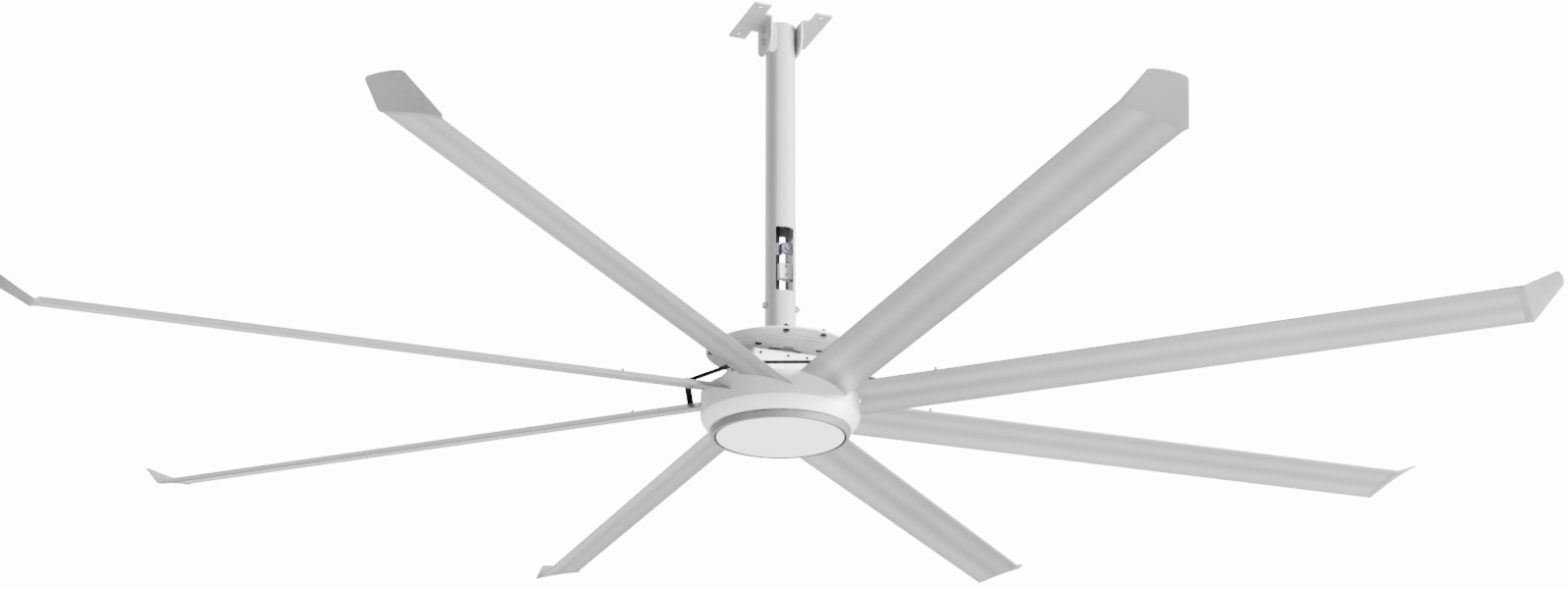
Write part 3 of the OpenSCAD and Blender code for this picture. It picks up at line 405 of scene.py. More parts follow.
def finish_with(piece: Solid, kind: str, **settings: Any) -> None:
    """Adds one modifier to a piece and applies it.

    Args:
        piece: the piece to change.
        kind: Blender's name for the modifier's type.
        settings: the modifier's properties.
    """
    take_up(piece)
    modifier = piece.modifiers.new(kind.title(), kind)
    for key, value in settings.items():
        setattr(modifier, key, value)
    bpy.ops.object.modifier_apply(modifier=modifier.name)


def soften(piece: Solid, width: float) -> Solid:
    """Rounds the edges sharper than 40 degrees and shades the piece.

    Args:
        piece: the piece to change.
        width: width of the rounding in mm.

    Returns:
        The same piece.
    """
    limit = {"limit_method": "ANGLE", "angle_limit": math.radians(40), "use_clamp_overlap": True}
    finish_with(piece, "BEVEL", width=width * MM, segments=2, **limit)
    return shade(piece)


def shade(piece: Solid, angle: float = 38.0) -> Solid:
    """Shades a piece smooth, with flat faces kept flat.

    Args:
        piece: the piece to change.
        angle: edges sharper than this many degrees stay sharp.

    Returns:
        The same piece.
    """
    take_up(piece)
    bpy.ops.object.shade_smooth_by_angle(angle=math.radians(angle))
    finish_with(piece, "WEIGHTED_NORMAL", keep_sharp=True, weight=80)
    return piece


def joined(name: str, pieces: Sequence[Solid]) -> Solid:
    """Joins several pieces into one and names it.

    Args:
        name: the name of the whole.
        pieces: one piece or more.

    Returns:
        The whole.
    """
    take_up(pieces[0])
    for piece in pieces[1:]:
        piece.select_set(True)
    if len(pieces) > 1:
        bpy.ops.object.join()
    return label_new(name)


def combined(piece: Solid, other: Solid, way: str) -> Solid:
    """Adds another solid to a piece or takes it away, and removes the other.

    Args:
        piece: the piece to change.
        other: the other solid.
        way: UNION, as a weld or a casting does, or DIFFERENCE, as a cutter does.

    Returns:
        The same piece.
    """
    finish_with(piece, "BOOLEAN", object=other, operation=way, solver="EXACT")
    bpy.data.objects.remove(other)
    return piece


def copied(piece: Solid, name: str, place: Matrix) -> Solid:
    """Copies a piece, with a mesh of its own, to a place.

    Args:
        piece: the piece.
        name: the copy's name.
        place: where the copy goes, in metres.

    Returns:
        The copy.
    """
    copy = piece.copy()
    copy.data = piece.data.copy()
    copy.name = copy.data.name = name
    bpy.context.scene.collection.objects.link(copy)
    copy.data.transform(place)
    return copy


def repeated(piece: Solid, places: Sequence[Matrix]) -> Solid:
    """Puts copies of a piece at several places, as one piece.

    Args:
        piece: the piece, modelled at the origin.
        places: where each copy goes, in metres.

    Returns:
        One piece that holds all the copies.
    """
    name = piece.name
    copies = [copied(piece, name, place) for place in places]
    bpy.data.objects.remove(piece)
    return joined(name, copies)


def turned_about_z(count: int) -> list[Matrix]:
    """Gives evenly spaced turns about the mast's axis."""
    return [Matrix.Rotation(math.radians(i * 360 / count), 4, "Z") for i in range(count)]


def spot(x: float, y: float, z: float) -> Matrix:
    """Gives a place in mm, with z above the blade datum."""
    return Matrix.Translation(Vector((x, y, z + DATUM)) * MM)


def facing(axis: str) -> Matrix:
    """Turns a piece that points up so that it points along an axis, such as -X."""
    goal = Vector([float(axis[1] == letter) for letter in "XYZ"]) * (-1 if axis[0] == "-" else 1)
    return goal.to_track_quat("Z", "Y").to_matrix().to_4x4()


def pick(piece: Solid, wanted: Callable[[Vector], bool]) -> None:
    """Selects the vertices, edges and faces of an edited piece by their place.

    Args:
        piece: the piece, in edit mode.
        wanted: says of a point, in the piece's own metres, whether it is picked.
    """
    bpy.ops.mesh.select_all(action="DESELECT")
    mesh = bmesh.from_edit_mesh(piece.data)
    for vert in mesh.verts:
        vert.select_set(wanted(vert.co))
    mesh.select_flush(True)
    bmesh.update_edit_mesh(piece.data)


def drawn(name: str, rings: Sequence[Sequence[Vector]], ends: Ends = Ends.CAPPED) -> Solid:
    """Draws a skin through rings of points.

    A circle is added and extruded once for each ring. Every ring is then laid
    on its points, and the skin gets a map of the way along and around it.

    Args:
        name: the piece's name.
        rings: rings of points in mm, with z above the blade datum.
        ends: what closes the first and the last ring.

    Returns:
        The piece, with faces that point outwards.
    """
    count, last = len(rings[0]), len(rings) - 1
    step = 0.01
    deselect_all()
    bpy.ops.mesh.primitive_circle_add(vertices=count, radius=0.1, location=(0, 0, 0))
    piece = label_new(name)
    with editing(piece):
        bpy.ops.mesh.select_all(action="SELECT")
        for _ in rings[1:]:
            bpy.ops.mesh.extrude_region_move(TRANSFORM_OT_translate={"value": (0, 0, step)})
        if ends is Ends.JOINED:
            pick(piece, lambda co: min(abs(co.z), abs(co.z - last * step)) < step / 4)
            bpy.ops.mesh.bridge_edge_loops()
        if ends is Ends.CAPPED:
            for level in (0, last):
                pick(piece, lambda co: abs(co.z - level * step) < step / 4)
                bpy.ops.mesh.edge_face_add()
        lay_on_rings(piece, rings, step)
        bpy.ops.mesh.select_all(action="SELECT")
        bpy.ops.mesh.remove_doubles(threshold=1e-6)
        bpy.ops.mesh.normals_make_consistent(inside=False)
    return piece


def lay_on_rings(piece: Solid, rings: Sequence[Sequence[Vector]], step: float) -> None:
    """Moves a straight stack of circles onto rings of points, and maps the skin.

    Args:
        piece: the stack, in edit mode, with its first circle at height zero.
        rings: the points for each circle in mm.
        step: the height from circle to circle in metres.
    """
    count = len(rings[0])
    mesh = bmesh.from_edit_mesh(piece.data)
    keys = {}
    for vert in mesh.verts:
        turn = math.atan2(vert.co.x, vert.co.y) / math.tau
        keys[vert] = (round(vert.co.z / step), round(turn * count) % count)
    along = [0.0]
    for a, b in zip(rings, rings[1:]):
        along.append(along[-1] + (Vector(b[0]) - Vector(a[0])).length * MM)
    middle = rings[len(rings) // 2]
    around = [0.0]
    for i in range(count):
        gap = Vector(middle[(i + 1) % count]) - Vector(middle[i])
        around.append(around[-1] + gap.length * MM)
    flow = mesh.loops.layers.uv.new(FLOW)
    for face in mesh.faces:
        wraps = max(keys[v][1] for v in face.verts) - min(keys[v][1] for v in face.verts)
        for loop in face.loops:
            ring, place = keys[loop.vert]
            full = wraps > count / 2 and place == 0 and len(face.verts) < 5
            loop[flow].uv = (along[ring], around[count if full else place])
    for vert, (ring, place) in keys.items():
        x, y, z = rings[ring][place]
        vert.co = Vector((x, y, z + DATUM)) * MM
    bmesh.update_edit_mesh(piece.data)


def filleted(corners: Sequence[Triple], steps: int = 5) -> list[Flat]:
    """Rounds the corners of a closed flat path.

    Args:
        corners: two coordinates and a rounding radius for each corner, in mm.
        steps: points in each rounding, less one.

    Returns:
        The points of the rounded path.
    """
    points: list[Flat] = []
    for i, (x, y, radius) in enumerate(corners):
        if radius <= 0:
            points.append((x, y))
            continue
        here = Vector((x, y))
        back = (Vector(corners[i - 1][:2]) - here).normalized()
        ahead = (Vector(corners[(i + 1) % len(corners)][:2]) - here).normalized()
        half = math.acos(max(-1.0, min(1.0, back.dot(ahead)))) / 2
        centre = here + (back + ahead).normalized() * radius / math.sin(half)
        arm = here + back * radius / math.tan(half) - centre
        goal = here + ahead * radius / math.tan(half) - centre
        sweep = math.atan2(arm.x * goal.y - arm.y * goal.x, arm.dot(goal))
        for k in range(steps + 1):
            c, s = math.cos(sweep * k / steps), math.sin(sweep * k / steps)
            points.append((centre.x + arm.x * c - arm.y * s, centre.y + arm.x * s + arm.y * c))
    return points


def rounded_rectangle(width: float, height: float, radius: float) -> list[Flat]:
    """Gives the outline of a rectangle with round corners, centred on the origin."""
    a, b = width / 2, height / 2
    return filleted([(-a, -b, radius), (a, -b, radius), (a, b, radius), (-a, b, radius)], 6)


def turned(name: str, path: Sequence[Flat], ends: Ends = Ends.JOINED, faces: int = 96) -> Solid:
    """Turns a flat path about the mast's axis, as a lathe or a press does.

    Args:
        name: the piece's name.
        path: radius and height of each point in mm.
        ends: what closes the path.
        faces: how many faces go round.

    Returns:
        The piece.
    """
    turns = [math.tau * i / faces for i in range(faces)]
    circle = [(math.cos(turn), math.sin(turn)) for turn in turns]
    rings = [[Vector((r * c, r * s, height)) for c, s in circle] for r, height in path]
    return shade(drawn(name, rings, ends))


def pressed(name: str, corners: Sequence[Triple], steps: int = 5) -> Solid:
    """Turns a path with rounded corners, as fine as the large round pieces need."""
    return turned(name, filleted(corners, steps), faces=ROUND_FACES)


def slab(name: str, outline: Sequence[Flat], low: float, high: float, axis: str = "Z") -> Solid:
    """Extrudes a flat outline into a slab.

    Args:
        name: the piece's name.
        outline: points in mm, across the axis in X, Y, Z order.
        low: where the slab starts along the axis.
        high: where it ends.
        axis: X, Y or Z.

    Returns:
        The slab, with sharp edges.
    """
    order = {"X": (2, 0, 1), "Y": (0, 2, 1), "Z": (0, 1, 2)}[axis]
    ends = [[(a, b, level) for a, b in outline] for level in (low, high)]
    return drawn(name, [[Vector([p[k] for k in order]) for p in end] for end in ends])


def rod(name: str, radius: float, length: float, faces: int = 32) -> Solid:
    """Adds a bar that points up from the origin, for heads, shanks and cutters.

    Args:
        name: the bar's name.
        radius: its radius in mm.
        length: its length in mm.
        faces: how many faces go round.

    Returns:
        The bar.
    """
    deselect_all()
    bpy.ops.mesh.primitive_cylinder_add(
        vertices=faces, radius=radius * MM, depth=length * MM, location=(0, 0, length * MM / 2)
    )
    bpy.ops.object.transform_apply(location=True, rotation=True, scale=True)
    return label_new(name)


def drill(radius: float, length: float, place: Matrix, faces: int = 32) -> Solid:
    """Makes a round cutter.

    Args:
        radius: its radius in mm.
        length: its length in mm.
        place: where it starts, pointing along Z, in metres.
        faces: how many faces go round.

    Returns:
        The cutter.
    """
    tool = rod("hole", radius, length, faces)
    tool.data.transform(place)
    return tool


def carve(piece: Solid, cutters: Sequence[Solid]) -> Solid:
    """Cuts the shape of each cutter out of a piece and throws the cutters away."""
    return combined(piece, joined("cutter", cutters), "DIFFERENCE")


@dataclass
class Bolt:
    """A hex bolt or nut, modelled once with its seat at the origin.

    The last three sizes are shares of its diameter.
    """

    diameter: float
    length: float = 8.0
    washer: bool = False
    washer_t: float = 2.4
    flats: float = 1.6
    head_h: float = 0.65
    nut_h: float = 0.8

    def head(self, height: float) -> Solid:
        """Makes a chamfered hexagon that stands on its seat.

        Args:
            height: the hexagon's height in mm.

        Returns:
            The hexagon.
        """
        flat = self.flats * self.diameter
        piece = rod("hexagon", flat / math.sqrt(3), height, 6)
        with editing(piece):
            pick(piece, lambda co: co.z > height * MM * 0.9)
            bpy.ops.mesh.bevel(offset=0.07 * flat * MM, segments=2, affect="EDGES")
            pick(piece, lambda co: co.z > height * MM * 0.99)
            bpy.ops.mesh.inset(thickness=0.1 * flat * MM, depth=-0.015 * flat * MM)
        return piece

    def bolts(self, name: str, places: Sequence[Matrix]) -> Solid:
        """Makes bolts: head, a washer where the bolt has one, and a shank that points down.

        Args:
            name: the name of the lot.
            places: where each one sits.

        Returns:
            All the bolts as one piece.
        """
        head = self.head(self.head_h * self.diameter)
        shank = rod("shank", self.diameter / 2, self.length, 20)
        shank.data.transform(Matrix.Translation((0, 0, -self.length * MM)))
        parts = [head, shank]
        if self.washer:
            parts.append(self.ring())
        return repeated(shade(joined(name, parts)), places)

    def nuts(self, name: str, places: Sequence[Matrix], proud: float = 3.0) -> Solid:
        """Makes nuts on their seats, with the bolt's rounded end standing proud.

        Args:
            name: the name of the lot.
            places: where each one sits.
            proud: how far the end stands out of the nut in mm.

        Returns:
            All the nuts as one piece.
        """
        height = self.nut_h * self.diameter
        head = self.head(height)
        end = rod("thread end", self.diameter / 2, height + proud, 20)
        with editing(end):
            pick(end, lambda co: co.z > height * MM)
            bpy.ops.mesh.bevel(offset=0.12 * self.diameter * MM, segments=2, affect="EDGES")
        return repeated(shade(joined(name, [head, end])), places)

    def ring(self) -> Solid:
        """Makes a flat washer just under the seat.

        Returns:
            The washer.
        """
        washer = rod("washer", self.diameter, self.washer_t)
        washer.data.transform(Matrix.Translation((0, 0, -self.washer_t * MM)))
        return soften(washer, 0.3)


def dress(piece: Solid, finish: Finish, body: str, node: str) -> None:
    """Gives a piece its finish and its body, and hides the CAD node that it stands for.

    Args:
        piece: the finished piece.
        finish: the finish that it gets.
        body: the body that carries it.
        node: the CAD node that it replaces.
    """
    piece.data.materials.clear()
    piece.data.materials.append(finish.material())
    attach(piece, body)
    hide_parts(node)
    LOG.info("%s: %d faces, %s", piece.name, len(piece.data.polygons), finish.name)


@dataclass
class Studio:
    """Camera, floor and soft light, none of them part of the fan. Places are in metres."""

    lens: float = 55.8832
    camera_at: Triple = (-2.35748, -6.06538, -3.41065)
    camera_turn: Triple = (111.348475, 0.019364, -21.326609)
    floor_z: float = -3.95
    floor_size: float = 60.0
    facing_turn: float = -21.24
    backdrop: float = 14.0
    dim_side: float = 0.1
    bright_side: float = 0.4
    side_turn: float = 116.0
    side_soft: float = 0.03
    focus: float = 7.0
    light_size: float = 3.0
    key_watts: float = 4200.0
    key_at: Triple = (6.0, -3.0, 2.2)
    # The turn, height and strength of each soft patch of the surround.
    patches: tuple[Triple, ...] = (
        (0, 5, 2.7), (80, 5, 2.6), (160, 5, 0.8), (240, 5, 0.25), (280, 5, 0.35), (320, 5, 0.45),
        (0, 40, 1.0), (60, 40, 1.0), (120, 40, 1.7), (180, 40, 0.75), (300, 40, 0.4), (0, 85, 0.3),
    )
    # How far right of the fan and behind it each floor light lies, and its watts.
    panels: tuple[Triple, ...] = (
        (-6.0, -4.5, 140), (6.0, -4.5, 600), (2.0, 3.0, 30), (-4.5, 10.5, 340), (6.0, 10.5, 700),
    )

    def build(self) -> None:
        """Sets up the camera, the surround, the floor and the lights."""
        self.add_camera()
        self.add_surround()
        self.add_floor()
        for right, away, watts in self.panels:
            at = self.beside(right, away, self.floor_z + 0.05)
            self.add_light("floor panel", watts, at, (math.pi, 0, 0))
        offset = self.beside(*self.key_at)
        turn = (-offset).to_track_quat("-Z", "Y").to_euler()
        key = self.add_light("key light", self.key_watts, offset + Vector((0, 0, DATUM * MM)), turn)
        key.visible_glossy = False

    def heading(self, turn: float, height: float = 0.0) -> Vector:
        """Gives a direction of the surround.

        Args:
            turn: degrees clockwise from straight away from the viewer, seen from above.
            height: degrees above the horizon.

        Returns:
            A direction of length one.
        """
        turn, height = math.radians(turn - self.facing_turn), math.radians(height)
        flat = math.cos(height)
        return Vector((math.sin(turn) * flat, math.cos(turn) * flat, math.sin(height)))

    def beside(self, right: float, away: float, up: float) -> Vector:
        """Gives a place to the viewer's right of the fan, behind it and above it."""
        return right * self.heading(90) + away * self.heading(0) + Vector((0, 0, up))

    def add_camera(self) -> None:
        """Places the camera where the photograph was taken from."""
        data = bpy.data.cameras.new("photograph camera")
        data.lens, data.sensor_width, data.clip_end = self.lens, 36.0, 100.0
        camera = bpy.data.objects.new("photograph camera", data)
        camera.location = self.camera_at
        camera.rotation_euler = [math.radians(a) for a in self.camera_turn]
        bpy.context.scene.collection.objects.link(camera)
        bpy.context.scene.camera = camera

    def add_surround(self) -> None:
        """Makes a surround of soft patches that shows white to the camera.

        The surround has a dim side and a bright side, with a quick step between
        them, so that the mast shows a dark flank beside a bright one.
        """
        world = bpy.data.worlds.new("white surround")
        bpy.context.scene.world = world
        world.use_nodes = True
        tree = world.node_tree
        tree.nodes.clear()
        way = add_node(tree, "TexCoord", output="Object")
        bright = {"operation": "DOT_PRODUCT", 1: self.heading(self.side_turn)}
        side = add_node(tree, "VectorMath", bright, {0: way}, "Value")
        step = {
            "From Min": -self.side_soft,
            "From Max": self.side_soft,
            "To Min": self.dim_side,
            "To Max": self.bright_side,
        }
        level = add_node(tree, "MapRange", step, {"Value": side})
        fall = {"operation": "MULTIPLY_ADD", 1: self.focus, 2: -self.focus}
        for turn, height, strength in self.patches:
            aim = {"operation": "DOT_PRODUCT", 1: self.heading(turn, height)}
            near = add_node(tree, "VectorMath", aim, {0: way}, "Value")
            power = add_node(tree, "Math", fall, {0: near})
            patch = add_node(tree, "Math", {"operation": "EXPONENT"}, {0: power})
            more = {"operation": "MULTIPLY_ADD", 1: strength}
            level = add_node(tree, "Math", more, {0: patch, 2: level})
        white = {"Color": (1, 1, 1, 1)}
        soft = add_node(tree, "Background", white, {"Strength": level})
        plain = add_node(tree, "Background", {**white, "Strength": self.backdrop})
        seen = add_node(tree, "LightPath", output="Is Camera Ray")
        mixed = add_node(tree, "MixShader", {}, {0: seen, 1: soft, 2: plain})
        add_node(tree, "OutputWorld", {}, {"Surface": mixed})

    def add_floor(self) -> None:
        """Lays a plain pale floor, clear from underneath for views from below the fan."""
        deselect_all()
        bpy.ops.mesh.primitive_plane_add(size=self.floor_size, location=(0, 0, self.floor_z))
        bpy.ops.object.transform_apply(location=True)
        floor = label_new("studio_floor")
        paint = FLOOR_PAINT.material()
        tree = paint.node_tree
        end = next(node for node in tree.nodes if node.type == "OUTPUT_MATERIAL")
        top = end.inputs["Surface"].links[0].from_socket
        under = add_node(tree, "NewGeometry", output="Backfacing")
        clear = add_node(tree, "BsdfTransparent")
        mixed = add_node(tree, "MixShader", {}, {0: under, 1: top, 2: clear})
        tree.links.new(mixed, end.inputs["Surface"])
        floor.data.materials.append(paint)

    def add_light(self, name: str, watts: float, at: Vector, turn: Sequence[float]) -> Solid:
        """Adds one large square light that no camera sees.

        Args:
            name: its name.
            watts: its power.
            at: its place.
            turn: how it is turned from shining straight down, in radians.

        Returns:
            The light.
        """
        data = bpy.data.lights.new(name, "AREA")
        data.shape, data.size, data.energy = "SQUARE", self.light_size, watts
        light = bpy.data.objects.new(name, data)
        light.location, light.rotation_euler = at, turn
        light.visible_camera = False
        bpy.context.scene.collection.objects.link(light)
        return light


@dataclass
class Blades:
    """Eight extruded blades and their moulded tips."""

    # The section, its pitch in degrees, and where its nose lies from the axis.
    chord: float = 157.0
    pitch: float = 16.7
    thickness: float = 17.0
    tail_t: float = 2.4
    camber: float = 11.0
    lead: float = 27.0
    rise: float = 38.0
    root_r: float = 227.0
    root_wall: float = 2.0
    root_depth: float = 40.0
    blade_rings: tuple[float, ...] = (0.02, 0.25, 0.5, 0.75, 0.98, 1.0)
    # The tip: a foot that carries the section on, a sharp bend, and a thin sheet.
    tip_r: float = 2134.9
    tip_len: float = 110.0
    tip_foot: float = 18.0
    nose_flare: Flat = (-2.8, -1.4)
    tail_flare: Flat = (7.56, 2.52)
    tip_rise: float = 72.0
    tip_edge: float = 93.0
    tip_shift: float = 17.0
    tip_drop: float = 1.0
    tip_bow: float = 4.0
    tip_corner: float = 6.0
    corner_share: float = 0.1
    bend_t: float = 9.0
    tip_t: float = 4.0
    thinning: float = 2.5
    sheet_camber: float = 0.4
    foot_rings: tuple[float, ...] = (0.0, 0.25, 0.5, 0.75, 0.94, 1.0)
    sheet_rings: tuple[float, ...] = (0.03, 0.15, 0.3, 0.45, 0.6, 0.75, 0.9, 1.0)
    points: int = 28

    def frame_point(self, x: float, y: float) -> Vector:
        """Turns a place on the section to the blade's pitch.

        Args:
            x: 0 at the nose, 1 at the tail.
            y: height over the chord in mm.

        Returns:
            The way across the blade and the height.
        """
        c, s = math.cos(math.radians(self.pitch)), math.sin(math.radians(self.pitch))
        along = x * self.chord
        return Vector((along * c + y * s - self.lead, self.rise - along * s + y * c))

    def bow(self, x: float) -> float:
        """Gives the height of the camber line above the chord."""
        return 4 * self.camber * x * (1 - x)

    def half(self, x: float) -> float:
        """Gives half the thickness at a place on the chord, that of a common wing section."""
        shape = 0.2969 * math.sqrt(x) - 0.126 * x - 0.3516 * x**2 + 0.2843 * x**3 - 0.1036 * x**4
        return 5 * self.thickness * shape + self.tail_t / 2 * x

    def chord_places(self) -> list[tuple[float, int]]:
        """Goes from the tail over the top to the nose and back below."""
        spread = [(1 - math.cos(math.pi * i / self.points)) / 2 for i in range(self.points + 1)]
        return [(x, 1) for x in reversed(spread)] + [(x, -1) for x in spread[1:]]

    def chord_line(self, foot: float, sheet: float) -> tuple[Vector, Vector]:
        """Gives the nose and the tail of the tip's section.

        Args:
            foot: 0 at the blade, 1 at the bend.
            sheet: 0 at the bend, 1 at the free edge.

        Returns:
            The two ends of the chord, across the blade and in height.
        """
        nose = self.frame_point(0, 0) + foot * foot * Vector(self.nose_flare)
        tail = self.frame_point(1, 0) + foot * foot * Vector(self.tail_flare)
        nose_out = Vector((self.frame_point(0, 0).x + self.tip_shift, self.tip_rise))
        tail_out = nose_out + Vector((self.tip_edge, -self.tip_drop))
        return nose.lerp(nose_out, sheet), tail.lerp(tail_out, sheet)

    def tip_point(self, x: float, side: int, foot: float, sheet: float) -> Vector:
        """Gives one point on the skin of the turned-up tip.

        Args:
            x: 0 at the nose, 1 at the tail.
            side: 1 above, -1 below.
            foot: 0 at the blade, 1 at the bend and beyond.
            sheet: 0 up to the bend, 1 at the free edge.

        Returns:
            The point in the blade's own frame.
        """
        length = self.tip_len - self.tip_foot - self.tip_t / 3
        near = max(0.0, 1 - min(x, 1 - x) / self.corner_share)
        back = self.tip_bow * (2 * x - 1) ** 2 + self.tip_corner * (1 - math.sqrt(1 - near * near))
        u = sheet * (1 - back / length)
        full = self.half(x)
        half = full + (min(full, self.bend_t / 2) - full) * foot
        if sheet > 0:
            thin = min(1.0, self.thinning * u)
            half = min(full, (self.bend_t + (self.tip_t - self.bend_t) * thin) / 2)
        lift = self.bow(x) * (1 + (self.sheet_camber - 1) * foot) * (1 - u) + side * half
        bend_a, bend_b = self.chord_line(1, 0)
        edge_a, edge_b = self.chord_line(1, 1)
        climb = (edge_a - bend_a).y * (1 - x) + (edge_b - bend_b).y * x
        lean = math.atan2(climb, length) * (0.0 if foot < 1 else (1.0 if sheet > 0 else 0.5))
        if foot == 1 and sheet == 0:
            lift /= math.cos(lean)
        a, b = self.chord_line(foot, u)
        way = b - a
        normal = Vector((-way.y, way.x)).normalized()
        across = a + way * x + normal * lift * math.cos(lean)
        out = self.tip_r - self.tip_len + self.tip_foot * foot + length * u - lift * math.sin(lean)
        return Vector((out, across.x, across.y))

    def blade(self) -> Solid:
        """Models one blade along +X with its hollow root.

        Returns:
            The blade.
        """
        outline = []
        for x, side in self.chord_places():
            outline.append(self.frame_point(x, self.bow(x) + side * self.half(x)))
        end = self.tip_r - self.tip_len
        rings = [[Vector((math.sqrt(self.root_r**2 - p.x**2), *p)) for p in outline]]
        for share in self.blade_rings:
            r = self.root_r + (end - self.root_r) * share
            rings.append([Vector((r, *p)) for p in outline])
        piece = drawn("blade_master", rings)
        with editing(piece):
            pick(piece, lambda co: co.x < (self.root_r + 8) * MM)
            bpy.ops.mesh.inset(thickness=self.root_wall * MM)
            hollow = {"value": (self.root_depth * MM, 0, 0)}
            bpy.ops.mesh.extrude_region_move(TRANSFORM_OT_translate=hollow)
        return shade(piece, 50)

    def tip(self) -> Solid:
        """Models one turned-up tip along +X.

        Returns:
            The tip.
        """
        shares = [(foot, 0.0) for foot in self.foot_rings]
        shares += [(1.0, sheet) for sheet in self.sheet_rings]
        places = self.chord_places()
        rings = [[self.tip_point(*place, *share) for place in places] for share in shares]
        return shade(drawn("tip_master", rings), 40)

    def build(self) -> None:
        """Makes the blades and tips and puts them round the hub."""
        blade, tip = self.blade(), self.tip()
        for i, turn in enumerate(turned_about_z(BLADES), start=1):
            piece = copied(blade, f"blade_{i}_extrusion", turn)
            # The blade finish paints shade and highlight bands along each blade.
            dress(piece, BLADE_METAL, TURNING, f"blade_{i}")
            piece = copied(tip, f"winglet_{i}_tip", turn)
            dress(piece, TIP_PLASTIC, TURNING, f"winglet_{i}")
        for master in (blade, tip):
            bpy.data.objects.remove(master)


@dataclass
class Hub:
    """Drum greyed with painted shade, white lower cover, black strap and the bolts that hold the
    blades.
    """

    radius: float = 225.0
    bore_r: float = 62.0
    top: float = 44.0
    seam: float = -29.0
    floor: float = -66.0
    floor_bore_r: float = 32.0
    taper: float = 23.0
    bulge: float = 3.0
    sheet: float = 2.5
    strap_r: float = 280.0
    strap_w: float = 18.0
    strap_h: float = 4.0
    strap_low: float = 44.2
    pad_proud: float = 3.0
    outer_bolt_r: float = 467.0
    bolt_y: float = 1.93
    crest: float = 43.9

    def drum(self) -> Solid:
        """Models the drum with its rolled top edge.

        Returns:
            The drum.
        """
        r, t, bore = self.radius, self.sheet, self.bore_r
        return pressed("hub_drum", [
            (r, self.seam, 0.6), (r, self.top, 6.0), (bore, self.top, 0.8),
            (bore, self.top - t, 0.8), (r - t, self.top - t, 3.5), (r - t, self.seam, 0.6),
        ])

    def side(self, inset: float, low: float, steps: int = 12) -> list[Triple]:
        """Gives the slightly bulged side of the lower cover, from the seam down.

        Args:
            inset: how far inside the outer skin the line lies, in mm.
            low: height where it ends.
            steps: how many stretches it has.

        Returns:
            Radius, height and rounding of each point.
        """
        line = []
        for i in range(steps + 1):
            s = i / steps
            radius = self.radius - self.taper * s + self.bulge * math.sin(math.pi * s) - inset
            rounding = {0: 0.6, steps: 1.4}.get(i, 0.0)
            line.append((radius, self.seam - 1 + (low - self.seam + 1) * s, rounding))
        return line

    def bowl(self) -> Solid:
        """Models the lower cover, which narrows to the hub's floor.

        Returns:
            The cover.
        """
        high = self.floor + self.sheet
        floor = [(self.floor_bore_r, self.floor, 0.8), (self.floor_bore_r, high, 0.8)]
        inner = self.side(1.15 * self.sheet, high)[::-1]
        return pressed("hub_bowl", self.side(0.0, self.floor) + floor + inner, 4)

    def strap(self) -> Solid:
        """Models the black strap that runs straight from blade to blade, with its pads.

        Returns:
            The strap.
        """
        low, high, half = self.strap_low, self.strap_low + self.strap_h, self.strap_w / 2
        reach, start = math.hypot(self.strap_r, self.bolt_y), math.atan2(self.bolt_y, self.strap_r)
        stretch = 1 / math.cos(math.pi / BLADES)
        corners = [(-half, low, 0.8), (half, low, 0.8), (half, high, 0.8), (-half, high, 0.8)]
        section = filleted(corners, 3)
        rings = []
        for k in range(BLADES):
            turn = Matrix.Rotation(math.tau * k / BLADES + start, 3, "Z")
            rings.append([turn @ Vector((reach + across * stretch, 0, z)) for across, z in section])
        strap = shade(drawn("safety_strap", rings, Ends.JOINED), 30)
        pad = soften(rod("pad", half + self.pad_proud, self.strap_h + 1.1, 36), 0.6)
        pads = repeated(pad, self.round_hub(self.strap_r, low - SEAT_GAP))
        return joined("safety_strap", [strap, pads])

    def round_hub(self, radius: float, height: float) -> list[Matrix]:
        """Gives the bolt's place on each blade, at a radius and a height."""
        return [turn @ spot(radius, self.bolt_y, height) for turn in turned_about_z(BLADES)]

    def build(self) -> None:
        """Makes the hub's pieces and dresses them."""
        # The drum's greyed coat is painted shade for the shadow under the blades.
        dress(self.drum(), SHADE_GREYED_COAT, TURNING, "hub_shell")
        dress(self.bowl(), WHITE_COAT, TURNING, "hub_lower_cover")
        dress(self.strap(), RING_COAT, TURNING, "safety_ring")
        seat = self.strap_low + self.strap_h + 1.05
        inner = Bolt(8, 14).bolts("inner_bolt", self.round_hub(self.strap_r, seat))
        places = self.round_hub(self.outer_bolt_r, self.crest + SEAT_GAP)
        outer = Bolt(8).nuts("outer_nut", places, 7.6)
        dress(joined("blade_fasteners", [inner, outer]), ZINC, TURNING, "blade_bolts")


